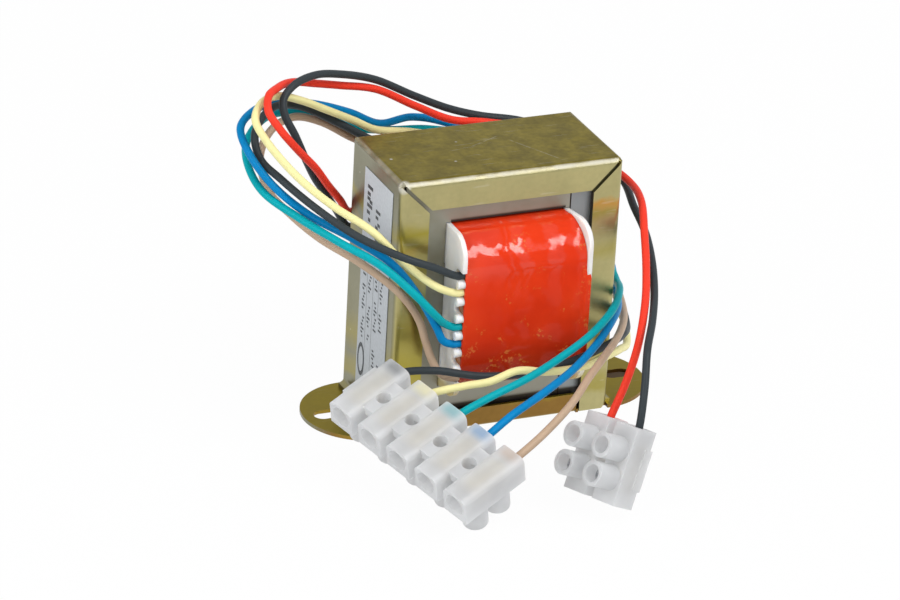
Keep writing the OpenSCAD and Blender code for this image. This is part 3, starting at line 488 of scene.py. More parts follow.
def varnished_laminations(colours):
    """Silicon steel punchings dipped in thin varnish: dull even grey, brownish where the varnish lay thick,
    bluer on the I pieces, with a dark line where an I meets its E, and painted shade along the tape's edges
    and at the foot."""
    material, tree, place = blank("varnished_silicon_steel")
    x, y, z = add(tree, "SeparateXYZ", {0: place}).outputs
    pools, tone = mottled(
        tree, place, 120.0, 3.0, (0.30, "#94907F"), (0.50, colours.lamination), (0.72, "#A8A69B"))
    across = add(tree, "Math", {0: x, 1: CORE_JOINT}, operation="GREATER_THAN")
    front = add(tree, "Math", {0: y, 1: CORE_FRONT + 0.3 * MM}, operation="LESS_THAN")
    # The joint on the front packet, 0.3 mm wide
    apart = add(tree, "Math", {0: x, 1: CORE_JOINT}, operation="SUBTRACT")
    apart = add(tree, "Math", {0: apart}, operation="ABSOLUTE")
    dark = add(tree, "MapRange", {0: apart, 1: 0.20 * MM, 2: 0.12 * MM, 4: front})
    # Painted shade: dark bands just above and below the coil, along the tape's edges, and at the foot of the
    # core
    beside = add(tree, "Math", {0: z, 1: COIL_MIDDLE}, operation="SUBTRACT")
    beside = add(tree, "Math", {0: beside}, operation="ABSOLUTE")
    tape_edge_shade = add(tree, "MapRange", {0: beside, 1: 19.8 * MM, 2: 19.4 * MM, 4: 0.9})
    inside = add(tree, "Math", {0: x}, operation="ABSOLUTE")
    inside = add(tree, "Math", {0: inside, 1: 13.2 * MM}, operation="LESS_THAN")
    for other in (front, inside):
        tape_edge_shade = add(tree, "Math", {0: tape_edge_shade, 1: other}, operation="MULTIPLY")
    foot = add(tree, "MapRange", {0: z, 1: 5.9 * MM, 2: 5.3 * MM, 4: 0.9})
    for other in (tape_edge_shade, foot):
        dark = add(tree, "Math", {0: dark, 1: other}, operation="MAXIMUM")
    colour = layered(tree, tone, (across, "#9A9FA0", "MIX"), (dark, "#2E2622", "MIX"))
    rough = add(tree, "MapRange", {0: pools, 1: 0.3, 2: 0.7, 3: 0.42, 4: 0.54})
    # Edges of the single sheets where the stack is seen from its side, drawn 1 mm apart so that they show
    sheets = add(tree, "TexWave", {"Vector": place, "Scale": 320.0}, bands_direction="Y")
    bump = add(tree, "Bump", {"Strength": 0.25, "Distance": 0.06 * MM, "Height": sheets})
    return surfaced(material, base_color=colour, metallic=0.8, roughness=rough, normal=bump)


def moulded_nylon(colours):
    """Natural nylon from a mould: milky, lets light in at thin edges, with a soft satin gloss;
    its foot is yellowed by varnish."""
    material, tree, place = blank("moulded_natural_nylon")
    flow, tone = mottled(tree, place, 160.0, 2.0, (0.3, "#E4E2DC"), (0.6, colours.nylon))
    _, _, z = add(tree, "SeparateXYZ", {0: place}).outputs
    foot = add(tree, "MapRange", {0: z, 1: 14.5 * MM, 2: 12.0 * MM, 4: 0.9})
    colour = layered(tree, tone, (foot, "#CFBB7C", "MIX"))
    rough = add(tree, "MapRange", {0: flow, 1: 0.3, 2: 0.7, 3: 0.34, 4: 0.46})
    return surfaced(material, base_color=colour, roughness=rough, ior=1.53, subsurface_weight=0.8,
                    subsurface_scale=2.2 * MM, subsurface_radius=(1.0, 0.9, 0.75))


def polyester_tape(colours):
    """Red polyester film wound tight: clear gloss on small puckers, painted shade that darkens it towards its
    lower end, and grains of varnish caught near its edges."""
    material, tree, place = blank("red_polyester_tape")
    x, _, z = add(tree, "SeparateXYZ", {0: place}).outputs
    _, tone = mottled(tree, place, 90.0, 2.0, (0.3, "#D23316"), (0.55, colours.tape), (0.8, "#E2431D"))
    # Painted shade: the red darkens towards the tape's lower end
    drop = add(tree, "MapRange", {0: z, 1: 12 * MM, 2: 36 * MM})
    lower_shade = add(tree, "ValToRGB", {0: drop}, ((0.0, 0.50), (0.35, 0.62), (0.5, 0.84), (1.0, 1.0)))
    # Grains about 0.4 mm across, thick near the right edge and in the lower half, most of all at its left
    grains = add(tree, "TexNoise", {"Vector": place, "Scale": 1500.0, "Detail": 2.0})
    patches = add(tree, "TexNoise", {"Vector": place, "Scale": 190.0, "Detail": 2.0})
    right = add(tree, "MapRange", {0: x, 1: 9 * MM, 2: 14 * MM, 4: 0.10})
    left = add(tree, "MapRange", {0: x, 1: -8 * MM, 2: -12 * MM, 3: 0.07, 4: 0.17})
    low = add(tree, "MapRange", {0: z, 1: 30 * MM, 2: 24 * MM, 4: left})
    near = add(tree, "Math", {0: right, 1: low}, operation="MAXIMUM")
    near = add(tree, "Math", {0: patches, 1: near}, operation="ADD")
    near = add(tree, "MapRange", {0: near, 1: 0.60, 2: 0.72})
    grain = add(tree, "MapRange", {0: grains, 1: 0.55, 2: 0.66, 4: 0.5})
    grain = add(tree, "Math", {0: grain, 1: near}, operation="MULTIPLY")
    colour = layered(tree, tone, (1.0, lower_shade, "MULTIPLY"), (grain, "#D08A45", "MIX"))
    # The film is clear and glossy in patches, and dulled by rubbing between them
    drift = add(tree, "Math", {0: patches, 1: 9 * MM, 2: x}, operation="MULTIPLY_ADD")
    drift = add(tree, "MapRange", {0: drift, 1: -8.5 * MM, 2: 19.5 * MM})
    clear = add(tree, "ValToRGB", {0: drift}, (
        (0.29, 0.30), (0.31, 0.03), (0.33, 0.03), (0.345, 0.30), (0.36, 0.30), (0.375, 0.03), (0.41, 0.03),
        (0.43, 0.34), (0.53, 0.34), (0.55, 0.03), (0.66, 0.03), (0.68, 0.34), (0.78, 0.34), (0.80, 0.03),
        (0.89, 0.03), (0.92, 0.25)))
    upper = add(tree, "MapRange", {0: z, 1: 37.5 * MM, 2: 40 * MM, 3: 0.25, 4: 1.0})
    clear = add(tree, "Math", {0: clear, 1: upper}, operation="MULTIPLY")
    smear = add(tree, "TexNoise", {"Vector": place, "Scale": 350.0, "Detail": 3.0})
    rough = add(tree, "MapRange", {0: smear, 1: 0.45, 2: 0.8, 3: 0.05, 4: 0.22})
    bump = add(tree, "Bump", {"Strength": 0.2, "Distance": 0.1 * MM, "Height": grain})
    return surfaced(material, base_color=colour, roughness=rough, specular_ior_level=clear, ior=1.58,
                    normal=bump)


def coated_paper():
    """Coated label paper: cool white and matt, with a faint fibre in it, darker towards its lower end and
    lighter towards its upper end.
    """
    material, tree, place = blank("coated_label_paper")
    _, tone = mottled(tree, place, 1400.0, 3.0, (0.3, "#B0B5B9"), (0.7, "#BBC0C4"))
    _, _, z = add(tree, "SeparateXYZ", {0: place}).outputs
    # Darker towards the label's lower end, lighter towards its upper end
    height = add(tree, "MapRange", {0: z, 1: 12 * MM, 2: 50 * MM})
    height_tone = add(tree, "ValToRGB", {0: height}, ((0.0, 0.92), (0.55, 0.96), (1.0, 1.22)))
    colour = layered(tree, tone, (1.0, height_tone, "MULTIPLY"))
    return surfaced(material, base_color=colour, roughness=0.55, ior=1.5)


def printed_ink():
    """Grey printing ink on that paper, thin enough to let its fibre show."""
    material, tree, place = blank("grey_printing_ink")
    _, tone = mottled(tree, place, 1800.0, 2.0, (0.35, "#23282B"), (0.75, "#474C50"))
    return surfaced(material, base_color=tone, roughness=0.5, ior=1.5)


def extruded_pvc(name, colour):
    """PVC drawn over the wire by extrusion: even colour with a soft gloss and a finely pitted skin."""
    material, tree, place = blank(name)
    clouds, shades = mottled(tree, place, 240.0, 3.0, (0.25, 0.92), (0.7, 1.0))
    tone = layered(tree, colour, (1.0, shades, "MULTIPLY"))
    rough = add(tree, "MapRange", {0: clouds, 1: 0.3, 2: 0.7, 3: 0.34, 4: 0.46})
    skin = add(tree, "TexNoise", {"Vector": place, "Scale": 1600.0, "Detail": 2.0})
    bump = add(tree, "Bump", {"Strength": 0.1, "Distance": 0.04 * MM, "Height": skin})
    return surfaced(material, base_color=tone, roughness=rough, ior=1.53, specular_ior_level=0.1, normal=bump)


def moulded_polyethylene(colours, strip):
    """Natural polyethylene from a mould: waxy and translucent, with a painted glow that lightens its shaded
    faces;
    each lead's colour is painted faintly on its barrel's thin floor, and the brass clamp as a warm band, as
    painted show-through."""
    at, turn, poles = STRIPS[strip]
    material, tree, place = blank("moulded_natural_polyethylene_" + strip)
    flow, tone = mottled(tree, place, 150.0, 2.0, (0.3, "#B8B9BA"), (0.65, colours.strip))
    # The strip's own axes: along its barrels, across its poles and up its screws
    turned = add(tree, "Mapping", {
        "Vector": place, "Location": at, "Rotation": [math.radians(a) for a in turn]}, vector_type="TEXTURE")
    along, across, up = add(tree, "SeparateXYZ", {0: turned}).outputs
    half = poles * POLE_PITCH / 2
    pole = add(tree, "MapRange", {0: across, 1: -half, 2: half, 4: float(poles)})
    share = add(tree, "Math", {0: pole, 1: float(poles)}, operation="DIVIDE")
    # Painted show-through: each lead's colour, faint on its barrel's thin floor
    leads = sorted((lead[1], lead[5].removesuffix("_pvc")) for lead in LEADS.values() if lead[0] == strip)
    tints = [(k / poles, getattr(colours, name)) for k, name in leads]
    lead_show_through = add(tree, "ValToRGB", {0: share}, tints)
    lead_show_through.color_ramp.interpolation = "CONSTANT"
    # The middle of each barrel, where its floor is thin
    within = add(tree, "Math", {0: pole}, operation="FRACT")
    within = add(tree, "Math", {0: within, 1: 0.5}, operation="SUBTRACT")
    within = add(tree, "Math", {0: within}, operation="ABSOLUTE")
    thin = add(tree, "MapRange", {0: up, 1: -1.2 * MM, 2: -2.6 * MM})
    middle = add(tree, "MapRange", {0: within, 1: 0.40, 2: 0.12, 4: thin})
    end = add(tree, "MapRange", {0: along, 1: 4.9 * MM, 2: 6.8 * MM, 4: 0.5})
    end = add(tree, "Math", {0: end, 1: middle}, operation="MULTIPLY")
    # Painted show-through: the brass clamp as a warm band
    reach = add(tree, "Math", {0: along}, operation="ABSOLUTE")
    brass = add(tree, "MapRange", {0: reach, 1: 6.2 * MM, 2: 3.4 * MM, 4: 0.3})
    brass = add(tree, "Math", {0: brass, 1: middle}, operation="MULTIPLY")
    colour = layered(tree, tone, (end, lead_show_through, "MIX"), (brass, "#E0DCCB", "MIX"))
    rough = add(tree, "MapRange", {0: flow, 1: 0.3, 2: 0.7, 3: 0.44, 4: 0.58})
    # The emission is a painted glow that lightens the shaded faces and the hollows
    return surfaced(material, base_color=colour, emission_color=colour, emission_strength=0.24,
                    roughness=rough, ior=1.51, specular_ior_level=0.3, transmission_weight=0.35,
                    subsurface_weight=0.8, subsurface_scale=10 * MM, subsurface_radius=(1.0, 1.0, 1.0))


def turned_brass():
    """Turned brass: warm yellow metal with fine tool marks."""
    material, tree, place = blank("turned_brass")
    marks, tone = mottled(tree, place, 1500.0, 2.0, (0.3, "#B08D3E"), (0.7, "#D2B260"))
    rough = add(tree, "MapRange", {0: marks, 1: 0.3, 2: 0.7, 3: 0.24, 4: 0.36})
    return surfaced(material, base_color=tone, metallic=1.0, roughness=rough)


def bright_zinc():
    """Bright zinc plate on the screws: cool silver, a little cloudy."""
    material, tree, place = blank("bright_zinc_plate")
    clouds, tone = mottled(tree, place, 1100.0, 2.0, (0.3, "#A9ACAF"), (0.7, "#CFD1D3"))
    rough = add(tree, "MapRange", {0: clouds, 1: 0.3, 2: 0.7, 3: 0.2, 4: 0.34})
    return surfaced(material, base_color=tone, metallic=1.0, roughness=rough)


def copper_strands():
    """Bare stranded copper: warm reddish metal in fine twisted lines."""
    material, tree, place = blank("bare_stranded_copper")
    strands = add(tree, "TexWave", {"Vector": place, "Scale": 700.0, "Distortion": 1.0},
                  bands_direction="DIAGONAL")
    tone = add(tree, "ValToRGB", {0: strands}, ((0.2, "#8E5230"), (0.7, "#C9815A")))
    bump = add(tree, "Bump", {"Strength": 0.4, "Distance": 0.1 * MM, "Height": strands})
    return surfaced(material, base_color=tone, metallic=1.0, roughness=0.35, normal=bump)


def enamelled_windings():
    """Enamelled copper wire wound in layers: close dark and bright lines round the coil,
    drawn about 1 mm apart so that they show."""
    material, tree, place = blank("enamelled_copper_wire")
    turns = add(tree, "TexWave", {"Vector": place, "Scale": 320.0, "Distortion": 0.6}, bands_direction="X")
    tone = add(tree, "ValToRGB", {0: turns}, ((0.1, "#5E3016"), (0.6, "#B8743C")))
    bump = add(tree, "Bump", {"Strength": 0.5, "Distance": 0.2 * MM, "Height": turns})
    return surfaced(material, base_color=tone, metallic=0.9, roughness=0.3, coat_weight=0.5, normal=bump)


def kraft_paper():
    """Kraft insulating paper: buff and fibrous, matt."""
    material, tree, place = blank("kraft_insulating_paper")
    _, tone = mottled(tree, place, 900.0, 4.0, (0.3, "#C2AC78"), (0.7, "#DCCB9C"))
    return surfaced(material, base_color=tone, roughness=0.8, ior=1.5)


def floor_paper():
    """Matt white paper, seen as white and still taking the object's shadow;
    under the right ear's slot it is painted dark, a painted shade."""
    material, tree, place = blank("white_paper_floor")
    # Painted shade: dark paper under the right ear's slot, without the glow
    away = add(tree, "VectorMath", {0: place, 1: SLOT_SHADE}, operation="DISTANCE")
    lit = add(tree, "MapRange", {0: away, 1: 4.4 * MM, 2: 5.2 * MM})
    tone = layered(tree, "#5E5042", (lit, shade(0.8), "MIX"))
    paper = add(tree, "BsdfDiffuse", {"Color": tone})
    glow = add(tree, "Emission", {"Color": shade(1.0), "Strength": 1.0})
    path = add(tree, "LightPath")
    seen = path.outputs["Is Camera Ray"]
    for ray in ("Is Glossy Ray", "Is Transmission Ray"):
        seen = add(tree, "Math", {0: seen, 1: path.outputs[ray]}, operation="MAXIMUM")
    for other in (0.97, lit):
        seen = add(tree, "Math", {0: seen, 1: other}, operation="MULTIPLY")
    both = add(tree, "MixShader", {0: seen, 1: paper, 2: glow})
    add(tree, "OutputMaterial", {"Surface": both})
    return material


# Shape helpers

def eased(start, end, value):
    """A smooth step from 0 at the start to 1 at the end."""
    share = min(1.0, max(0.0, (value - start) / (end - start)))
    return share * share * (3 - 2 * share)


def made_mesh(name, shape):
    """A new mesh from a finished shape."""
    mesh = bpy.data.meshes.new(name)
    shape.to_mesh(mesh)
    shape.free()
    return mesh


def smoothed(mesh, angle):
    """The mesh with smooth faces, and sharp edges where it turns by more than the angle in degrees."""
    mesh.shade_smooth()
    mesh.set_sharp_from_angle(angle=math.radians(angle))
    return mesh


def baked(mesh, *modifiers):
    """The mesh after modifiers, each given as its kind, its settings and its node inputs."""
    holder = bpy.data.objects.new("holder", mesh)
    bpy.context.scene.collection.objects.link(holder)
    for kind, settings, inputs in modifiers:
        modifier = holder.modifiers.new(kind, kind)
        for key, value in settings.items():
            setattr(modifier, key, value)
        for key, value in inputs.items():
            modifier[key] = value
    shaped = holder.evaluated_get(bpy.context.evaluated_depsgraph_get())
    result = bpy.data.meshes.new_from_object(shaped)
    bpy.data.objects.remove(holder)
    return result


def link_piece(name, data, slot, *nodes):
    """Puts a finished mesh or curve in the scene, on the one body, in place of the solids it stands for."""
    piece = bpy.data.objects.new(name, data)
    bpy.context.scene.collection.objects.link(piece)
    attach(piece, "root")
    if nodes:
        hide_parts(*nodes)
    return piece


def rounded_piece(name, node, slot, width, *materials):
    """Puts a copy of a solid in its place, with its sharp edges rounded and given the last material."""
    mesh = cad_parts[node].data.copy()
    mesh.name = name
    mesh.materials.clear()
    for material in materials:
        mesh.materials.append(material)
    shape = bmesh.new()
    shape.from_mesh(mesh)
    for face in shape.faces:
        face.material_index = 0
    bmesh.ops.remove_doubles(shape, verts=shape.verts, dist=0.002 * MM)
    bmesh.ops.dissolve_limit(shape, angle_limit=math.radians(0.5), verts=shape.verts, edges=shape.edges)
    shape.to_mesh(mesh)
    shape.free()
    rounding = {"width": width, "segments": 2, "limit_method": "ANGLE", "angle_limit": math.radians(32),
                "material": len(materials) - 1, "harden_normals": False}
    mesh = baked(mesh, ("BEVEL", rounding, {}), ("WEIGHTED_NORMAL", {"keep_sharp": True}, {}))
    link_piece(name, mesh, slot, node)


def refinish(node, material):
    """Gives a solid that stays in view a finish of its own."""
    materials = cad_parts[node].data.materials
    materials.clear()
    materials.append(material)


def strip_matrix(strip):
    """The place of a terminal strip, from its own axes."""
    at, turn, _ = STRIPS[strip]
    return Matrix.Translation(at) @ Euler([math.radians(a) for a in turn]).to_matrix().to_4x4()


def pole_offset(strip, pole):
    """How far a pole lies from the strip's middle."""
    return (pole - (STRIPS[strip][2] - 1) / 2) * POLE_PITCH


def along_line(name, mesh, count, step, material):
    """Repeats a mesh along a line with Geometry Nodes, and gives back the plain mesh."""
    tree = bpy.data.node_groups.new(name, "GeometryNodeTree")
    ports = tree.interface
    ports.new_socket("Geometry", in_out="INPUT", socket_type="NodeSocketGeometry")
    inputs = {}
    sizes = (("Count", "Int", count), ("Step", "Vector", step), ("Finish", "Material", material))
    for port, kind, value in sizes:
        socket = ports.new_socket(port, in_out="INPUT", socket_type="NodeSocket" + kind)
        inputs[socket.identifier] = value
    ports.new_socket("Geometry", in_out="OUTPUT", socket_type="NodeSocketGeometry")
    given = tree.nodes.new("NodeGroupInput").outputs
    line = add(tree, "MeshLine", {"Count": given["Count"], "Offset": given["Step"]}, mode="OFFSET")
    copies = add(tree, "InstanceOnPoints", {"Points": line, "Instance": given["Geometry"]})
    solid = add(tree, "RealizeInstances", {0: copies})
    coated = add(tree, "SetMaterial", {"Geometry": solid, "Material": given["Finish"]})
    tree.links.new(coated.outputs[0], tree.nodes.new("NodeGroupOutput").inputs[0])
    result = baked(mesh, ("NODES", {"node_group": tree}, inputs))
    result.name = name
    return result


# Pieces

def stacked(shape, rings):
    """Joins rings of points, lowest first, into one capped solid."""
    loops = [[shape.verts.new(point) for point in ring] for ring in rings]
    for low, high in zip(loops, loops[1:]):
        for k in range(len(low)):
            shape.faces.new((low[k - 1], low[k], high[k], high[k - 1]))
    shape.faces.new(reversed(loops[0]))
    shape.faces.new(loops[-1])


def arc(angles, radius, height):
    """Points round the screw's axis, from sizes in millimetres."""
    return [(radius * MM * math.cos(a), radius * MM * math.sin(a), height * MM) for a in angles]


def slotted_screw():
    """One cheese-head screw, its tip at the origin, its head upwards and halved by the driver slot."""
    shape = bmesh.new()
    turn = [k * math.tau / SCREW_SIDES for k in range(SCREW_SIDES)]
    stacked(shape, [arc(turn, radius, height) for radius, height in SCREW_SHANK])
    for begin in (0.0, math.pi):
        rings = []
        for radius, height, slot in SCREW_HEAD:
            start = math.asin(slot / radius)
            angles = [begin + start + k * (math.pi - 2 * start) / HEAD_STEPS for k in range(HEAD_STEPS + 1)]
            rings.append(arc(angles, radius, height))
        stacked(shape, rings)
    return smoothed(made_mesh("slotted_screw", shape), 30)


def curve_points(route):
    """Points close together on the smooth curve through a route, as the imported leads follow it."""
    ends = [2 * route[0] - route[1], *route, 2 * route[-1] - route[-2]]
    points = []
    for a, b, c, d in zip(ends, ends[1:], ends[2:], ends[3:]):
        t1 = math.sqrt((b - a).length)
        t2 = t1 + math.sqrt((c - b).length)
        t3 = t2 + math.sqrt((d - c).length)
        count = max(2, round((c - b).length / LEAD_STEP))
        for k in range(count):
            t = t1 + k / count * (t2 - t1)
            p = ((t1 - t) * a + t * b) / t1
            q = ((t2 - t) * b + (t - t1) * c) / (t2 - t1)
            r = ((t3 - t) * c + (t - t2) * d) / (t3 - t2)
            pq = ((t2 - t) * p + t * q) / t2
            qr = ((t3 - t) * q + (t - t1) * r) / (t3 - t1)
            points.append(((t2 - t) * pq + (t - t1) * qr) / (t2 - t1))
    points.append(route[-1])
    return points


def coil_outline():
    """The coil's rounded outline in the YZ plane, from its lower front corner: points and ways outward."""
    outline = []
    flat_y = COIL_HALF_DEPTH - COIL_CORNER
    flat_z = COIL_HALF_HEIGHT - COIL_CORNER
    corners = ((-flat_y, -flat_z), (flat_y, -flat_z), (flat_y, flat_z), (-flat_y, flat_z))
    for i, (y, z) in enumerate(corners):
        start = (math.pi, 1.5 * math.pi, 0.0, 0.5 * math.pi)[i]
        for k in range(CORNER_STEPS):
            angle = start + k / CORNER_STEPS * math.pi / 2
            out = (math.cos(angle), math.sin(angle))
            outline.append((y + COIL_CORNER * out[0], z + COIL_CORNER * out[1], *out))
        angle = start + math.pi / 2
        out = (math.cos(angle), math.sin(angle))
        y2, z2 = corners[(i + 1) % 4]
        for k in range(FLAT_STEPS):
            share = k / FLAT_STEPS
            flat = (y + (y2 - y) * share, z + (z2 - z) * share)
            outline.append((flat[0] + COIL_CORNER * out[0], flat[1] + COIL_CORNER * out[1], *out))
    return outline


def tape_mesh(wrinkle):
    """The tape as one closed band: a wrinkled outer skin, an even inner skin, and its two cut edges.
    Low on the front it folds over the edge of the leaning flange."""
    shape = bmesh.new()
    outer = []
    inner = []
    for y, z, out_y, out_z in coil_outline():
        lean = max(0.0, abs(y) - LEAN_FROM) / (LEAN_TO - LEAN_FROM) * LEAN
        fold = eased(9.5 * MM, 6.5 * MM, z) if y < -COIL_HALF_DEPTH + 2 * MM else 0.0
        # Inside the core's window the tape lies flat
        free = eased(13.2 * MM, 15.2 * MM, abs(y))
        low = -COIL_END + TAPE_PLAY
        high = COIL_END + lean - TAPE_PLAY + fold * FOLD_REACH
        rows = ([], [])
        for k in range(TAPE_STEPS + 1):
            x = low + (high - low) * k / TAPE_STEPS
            # Large wrinkles come every 5 to 8 mm, and small ones every 2 mm
            large = noise.noise(Vector((x * 220, y * 130, z * 130)))
            small = noise.noise(Vector((x * 640 + 9, y * 500, z * 560)))
            edge = max(0.0, 1 - (high - x) / (1.6 * MM)) ** 2
            over = fold * eased(COIL_END + 0.6 * MM, COIL_END + 1.5 * MM, x)
            raised = free * (wrinkle * large + 0.16 * wrinkle * small + 0.2 * MM * edge)
            lift = raised * (1 - over) + FOLD_LIFT * over
            depth = TAPE_DEPTH * (1 - over) + FILM_DEPTH * over
            for row, level in zip(rows, (lift, lift * over - depth)):
                row.append(shape.verts.new((x, y + out_y * level, z + out_z * level + COIL_MIDDLE)))
        outer.append(rows[0])
        inner.append(rows[1])
    for i in range(len(outer)):
        j = (i + 1) % len(outer)
        for k in range(TAPE_STEPS):
            shape.faces.new((outer[i][k], outer[i][k + 1], outer[j][k + 1], outer[j][k]))
            shape.faces.new((inner[i][k], inner[j][k], inner[j][k + 1], inner[i][k + 1]))
        shape.faces.new((outer[i][0], outer[j][0], inner[j][0], inner[i][0]))
        shape.faces.new((outer[i][-1], inner[i][-1], inner[j][-1], outer[j][-1]))
    bmesh.ops.recalc_face_normals(shape, faces=shape.faces)
    return smoothed(made_mesh("outer_tape", shape), 50)


def label_print():
    """Plain marks on the label, set along its length: rows of short bars, rules and an oval."""
    low, high = (Vector(corner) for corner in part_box("rating_label"))
    shape = bmesh.new()

    def spot(across, along):
        return shape.verts.new((low.x - PRINT_LIFT, high.y - across * MM, low.z + along * MM))

    def bar(across, thick, start, end):
        corners = ((across, start), (across, end), (across + thick, end), (across + thick, start))
        shape.faces.new([spot(*corner) for corner in corners])

    for across, size, groups in LABEL_ROWS:
        for start, count in groups:
            for k in range(count):
                low_end, high_end = LABEL_MARKS[(k + count) % len(LABEL_MARKS)]
                along = start + 0.56 * size * k
                bar(across + low_end * size, (high_end - low_end) * size, along, along + 0.3 * size)
    for across, start, end in LABEL_RULES:
        bar(across, RULE_WIDTH, start, end)
    turn = [k * math.tau / OVAL_SIDES for k in range(OVAL_SIDES)]
    rings = [[spot(OVAL_MIDDLE[0] + a * math.cos(t), OVAL_MIDDLE[1] + b * math.sin(t)) for t in turn]
             for a, b in OVAL_RINGS]
    for k in range(OVAL_SIDES):
        shape.faces.new((rings[0][k - 1], rings[0][k], rings[1][k], rings[1][k - 1]))
    bmesh.ops.recalc_face_normals(shape, faces=shape.faces)
    for face in shape.faces:
        if face.normal.x > 0:
            face.normal_flip()
    return made_mesh("label_print", shape)


# Operators

class TRANSFORMER_OT_stage(bpy.types.Operator):
    """Makes the camera, the pale floor and the soft studio light"""

    bl_idname = "transformer.stage"
    bl_label = "Stage"

    def execute(self, context):
        scene = context.scene
        sizes = scene.transformer_sizes
        scene.view_settings.view_transform = "Standard"
        camera = bpy.data.objects.new("camera", bpy.data.cameras.new("camera"))
        camera.data.lens = sizes.lens * 1000
        camera.data.sensor_width = 36
        camera.data.clip_start = 0.05
        camera.data.clip_end = 20
        camera.matrix_world = self.facing(CAMERA_EYE, CAMERA_AIM) @ Matrix.Rotation(sizes.roll, 4, "Z")
        scene.collection.objects.link(camera)
        scene.camera = camera
        self.floor(scene)
        self.lights(scene)
        return {"FINISHED"}

    def facing(self, spot, aim):
        """A place at the spot, turned to look at the aim."""
        return Matrix.Translation(spot) @ (aim - spot).to_track_quat("-Z", "Y").to_matrix().to_4x4()

    def floor(self, scene):
        mesh = bpy.data.meshes.new("floor")
        mesh.from_pydata([(-4, -4, 0), (4, -4, 0), (4, 4, 0), (-4, 4, 0)], [], [(0, 1, 2, 3)])
        mesh.materials.append(floor_paper())
        floor = bpy.data.objects.new("floor", mesh)
        scene.collection.objects.link(floor)

    def lights(self, scene):
        world = bpy.data.worlds.new("studio")
        world.use_nodes = True
        world.node_tree.nodes.clear()
        sky = add(world.node_tree, "Background", {"Color": "#F4F6FA", "Strength": 0.6})
        add(world.node_tree, "OutputWorld", {"Surface": sky})
        scene.world = world
        for name, towards, distance, width, height, power, glossy, diffuse in LAMPS:
            lamp = bpy.data.lights.new(name, "AREA")
            lamp.shape = "RECTANGLE"
            lamp.size = width
            lamp.size_y = height
            lamp.energy = power
            box = bpy.data.objects.new(name, lamp)
            box.visible_glossy = glossy
            box.visible_diffuse = diffuse
            box.matrix_world = self.facing(LAMP_AIM + Vector(towards).normalized() * distance, LAMP_AIM)
            scene.collection.objects.link(box)


class TRANSFORMER_OT_terminal_strips(bpy.types.Operator):
    """Makes the two moulded terminal strips with their clamps, screws and wire ends"""

    bl_idname = "transformer.terminal_strips"
    bl_label = "Terminal strips"

    def execute(self, context):
        edge = context.scene.transformer_sizes.moulded_edge
        colours = context.scene.transformer_colours
        step = (0.0, POLE_PITCH, 0.0)
        brass = turned_brass()
        zinc = bright_zinc()
        copper = copper_strands()
        for strip, (_, _, poles) in STRIPS.items():
            plastic = moulded_polyethylene(colours, strip)
            rounded_piece(strip + "_moulding", strip + "_housing", "polyethylene", edge, plastic)
            rounded_piece(strip + "_brasses", strip + "_clamps", "brass", BRASS_EDGE, brass)
            for row, side, lift in (("_lead_screws", 1, SCREW_TIGHT), ("_free_screws", -1, SCREW_OPEN)):
                screws = along_line(strip + "_screw_row", slotted_screw(), poles, step, zinc)
                first = Matrix.Translation((side * SCREW_REACH, pole_offset(strip, 0), lift))
                screws.transform(strip_matrix(strip) @ first)
                link_piece(strip + row, screws, "zinc_plated_steel", strip + "_screws")
            refinish(strip + "_wire_ends", copper)
        return {"FINISHED"}


class TRANSFORMER_OT_leads(bpy.types.Operator):
    bl_idname = "transformer.leads"
    bl_label = "Leads"

    def execute(self, context):
        diameter = context.scene.transformer_sizes.lead_diameter
        colours = context.scene.transformer_colours
        finishes = {name + "_pvc": extruded_pvc("extruded_" + name + "_pvc", getattr(colours, name))
                    for name in ("black", "yellow", "green", "blue", "brown", "red")}
        for name, (strip, pole, notch, side, length, slot) in LEADS.items():
            height = COMB_MIDDLE + (COMB_NOTCHES // 2 - notch) * NOTCH_PITCH
            start = Vector((-COIL_END, side * NOTCH_DEPTH, height))
            out = Vector((-COIL_END - KNOB_LENGTH, side * NOTCH_DEPTH, height))
            place = strip_matrix(strip)
            offset = pole_offset(strip, pole)
            route = [start, out, *(Vector(point) for point in ROUTES[name])]
            route += [place @ Vector((reach, offset, 0)) for reach in LEAD_ENTRY]
            points = curve_points(route)
            data = bpy.data.curves.new("lead_" + name + "_cord", "CURVE")
            data.dimensions = "3D"
            data.bevel_depth = diameter / 2
            data.bevel_resolution = 4
            data.use_fill_caps = True
            line = data.splines.new("POLY")
            line.points.add(len(points) - 1)
            for point, spot in zip(line.points, points):
                point.co = (*spot, 1.0)
            data.materials.append(finishes[slot])
            piece = link_piece("lead_" + name + "_cord", data, slot, "lead_" + name)
        return {"FINISHED"}


class TRANSFORMER_OT_sheet_metal(bpy.types.Operator):
    """Makes the folded frame and the base plate with rounded cut edges"""

    bl_idname = "transformer.sheet_metal"
    bl_label = "Frame and base plate"

    def execute(self, context):
        edge = context.scene.transformer_sizes.sheet_edge
        colours = context.scene.transformer_colours
        plated = chromated_zinc("yellow_chromated_zinc", colours.chromate, colours.chromate)
        # The base plate's upright faces take a darker brown, a painted reflection
        gold = chromated_zinc("yellow_chromated_zinc_base", colours.base_chromate, "#93713A")
        cut = sheared_edge()
        rounded_piece("folded_frame", "frame_shell", "chromated_steel", edge, plated, cut)
        rounded_piece("slotted_base", "base_plate", "chromated_steel", edge, gold, cut)
        return {"FINISHED"}


class TRANSFORMER_OT_core(bpy.types.Operator):
    """Makes the interleaved laminations of the core"""

    bl_idname = "transformer.core"
    bl_label = "Core"

    def execute(self, context):
        steel = varnished_laminations(context.scene.transformer_colours)
        rounded_piece("e_punchings", "core_e_laminations", "silicon_steel", PUNCHED_EDGE, steel)
        rounded_piece("i_punchings", "core_i_laminations", "silicon_steel", PUNCHED_EDGE, steel)
        return {"FINISHED"}


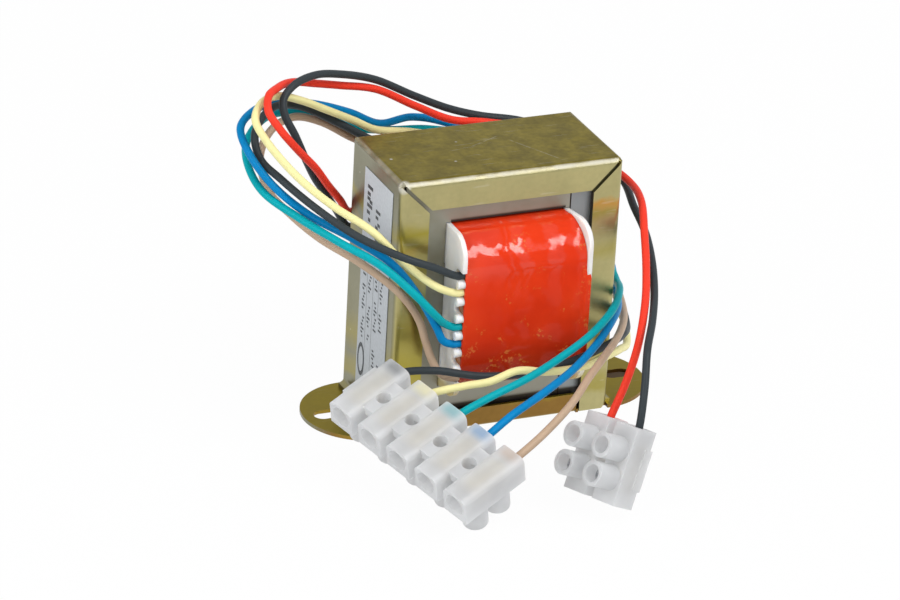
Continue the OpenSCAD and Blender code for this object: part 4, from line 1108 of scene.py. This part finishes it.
class TRANSFORMER_OT_coil(bpy.types.Operator):
    """Makes the bobbin, the windings and the tape round them"""

    bl_idname = "transformer.coil"
    bl_label = "Coil"

    def execute(self, context):
        sizes = context.scene.transformer_sizes
        colours = context.scene.transformer_colours
        rounded_piece("moulded_bobbin", "bobbin", "nylon", sizes.moulded_edge, moulded_nylon(colours))
        wire = enamelled_windings()
        refinish("primary_winding", wire)
        refinish("secondary_winding", wire)
        refinish("winding_insulation", kraft_paper())
        tape = tape_mesh(sizes.tape_wrinkle)
        tape.materials.append(polyester_tape(colours))
        link_piece("wound_tape", tape, "red_tape", "outer_tape")
        return {"FINISHED"}


class TRANSFORMER_OT_label(bpy.types.Operator):
    """Makes the paper label on the left wall, with plain bars in place of words"""

    bl_idname = "transformer.label"
    bl_label = "Label"

    def execute(self, context):
        rounded_piece("paper_label", "rating_label", "label_paper", PAPER_EDGE, coated_paper())
        ink = label_print()
        ink.materials.append(printed_ink())
        link_piece("label_bars", ink, "label_paper")
        return {"FINISHED"}


class TRANSFORMER_PT_panel(bpy.types.Panel):
    """Lists the sizes, the colours and the pieces in the sidebar"""

    bl_idname = "TRANSFORMER_PT_panel"
    bl_label = "Speaker line transformer"
    bl_space_type = "VIEW_3D"
    bl_region_type = "UI"
    bl_category = "Transformer"

    def draw(self, context):
        for group in (context.scene.transformer_sizes, context.scene.transformer_colours):
            for name in group.__annotations__:
                self.layout.prop(group, name)
        for operator in OPERATORS:
            self.layout.operator(operator.bl_idname)


OPERATORS = (
    TRANSFORMER_OT_stage,
    TRANSFORMER_OT_terminal_strips,
    TRANSFORMER_OT_leads,
    TRANSFORMER_OT_sheet_metal,
    TRANSFORMER_OT_core,
    TRANSFORMER_OT_coil,
    TRANSFORMER_OT_label,
)
CLASSES = (TransformerSizes, TransformerColours, *OPERATORS, TRANSFORMER_PT_panel)


def register():
    for cls in CLASSES:
        bpy.utils.register_class(cls)
    bpy.types.Scene.transformer_sizes = bpy.props.PointerProperty(type=TransformerSizes)
    bpy.types.Scene.transformer_colours = bpy.props.PointerProperty(type=TransformerColours)


def unregister():
    del bpy.types.Scene.transformer_colours
    del bpy.types.Scene.transformer_sizes
    for cls in reversed(CLASSES):
        bpy.utils.unregister_class(cls)


def main():
    register()
    bpy.ops.transformer.stage()
    bpy.ops.transformer.terminal_strips()
    bpy.ops.transformer.leads()
    bpy.ops.transformer.sheet_metal()
    bpy.ops.transformer.core()
    bpy.ops.transformer.coil()
    bpy.ops.transformer.label()


if __name__ == "__main__":
    main()
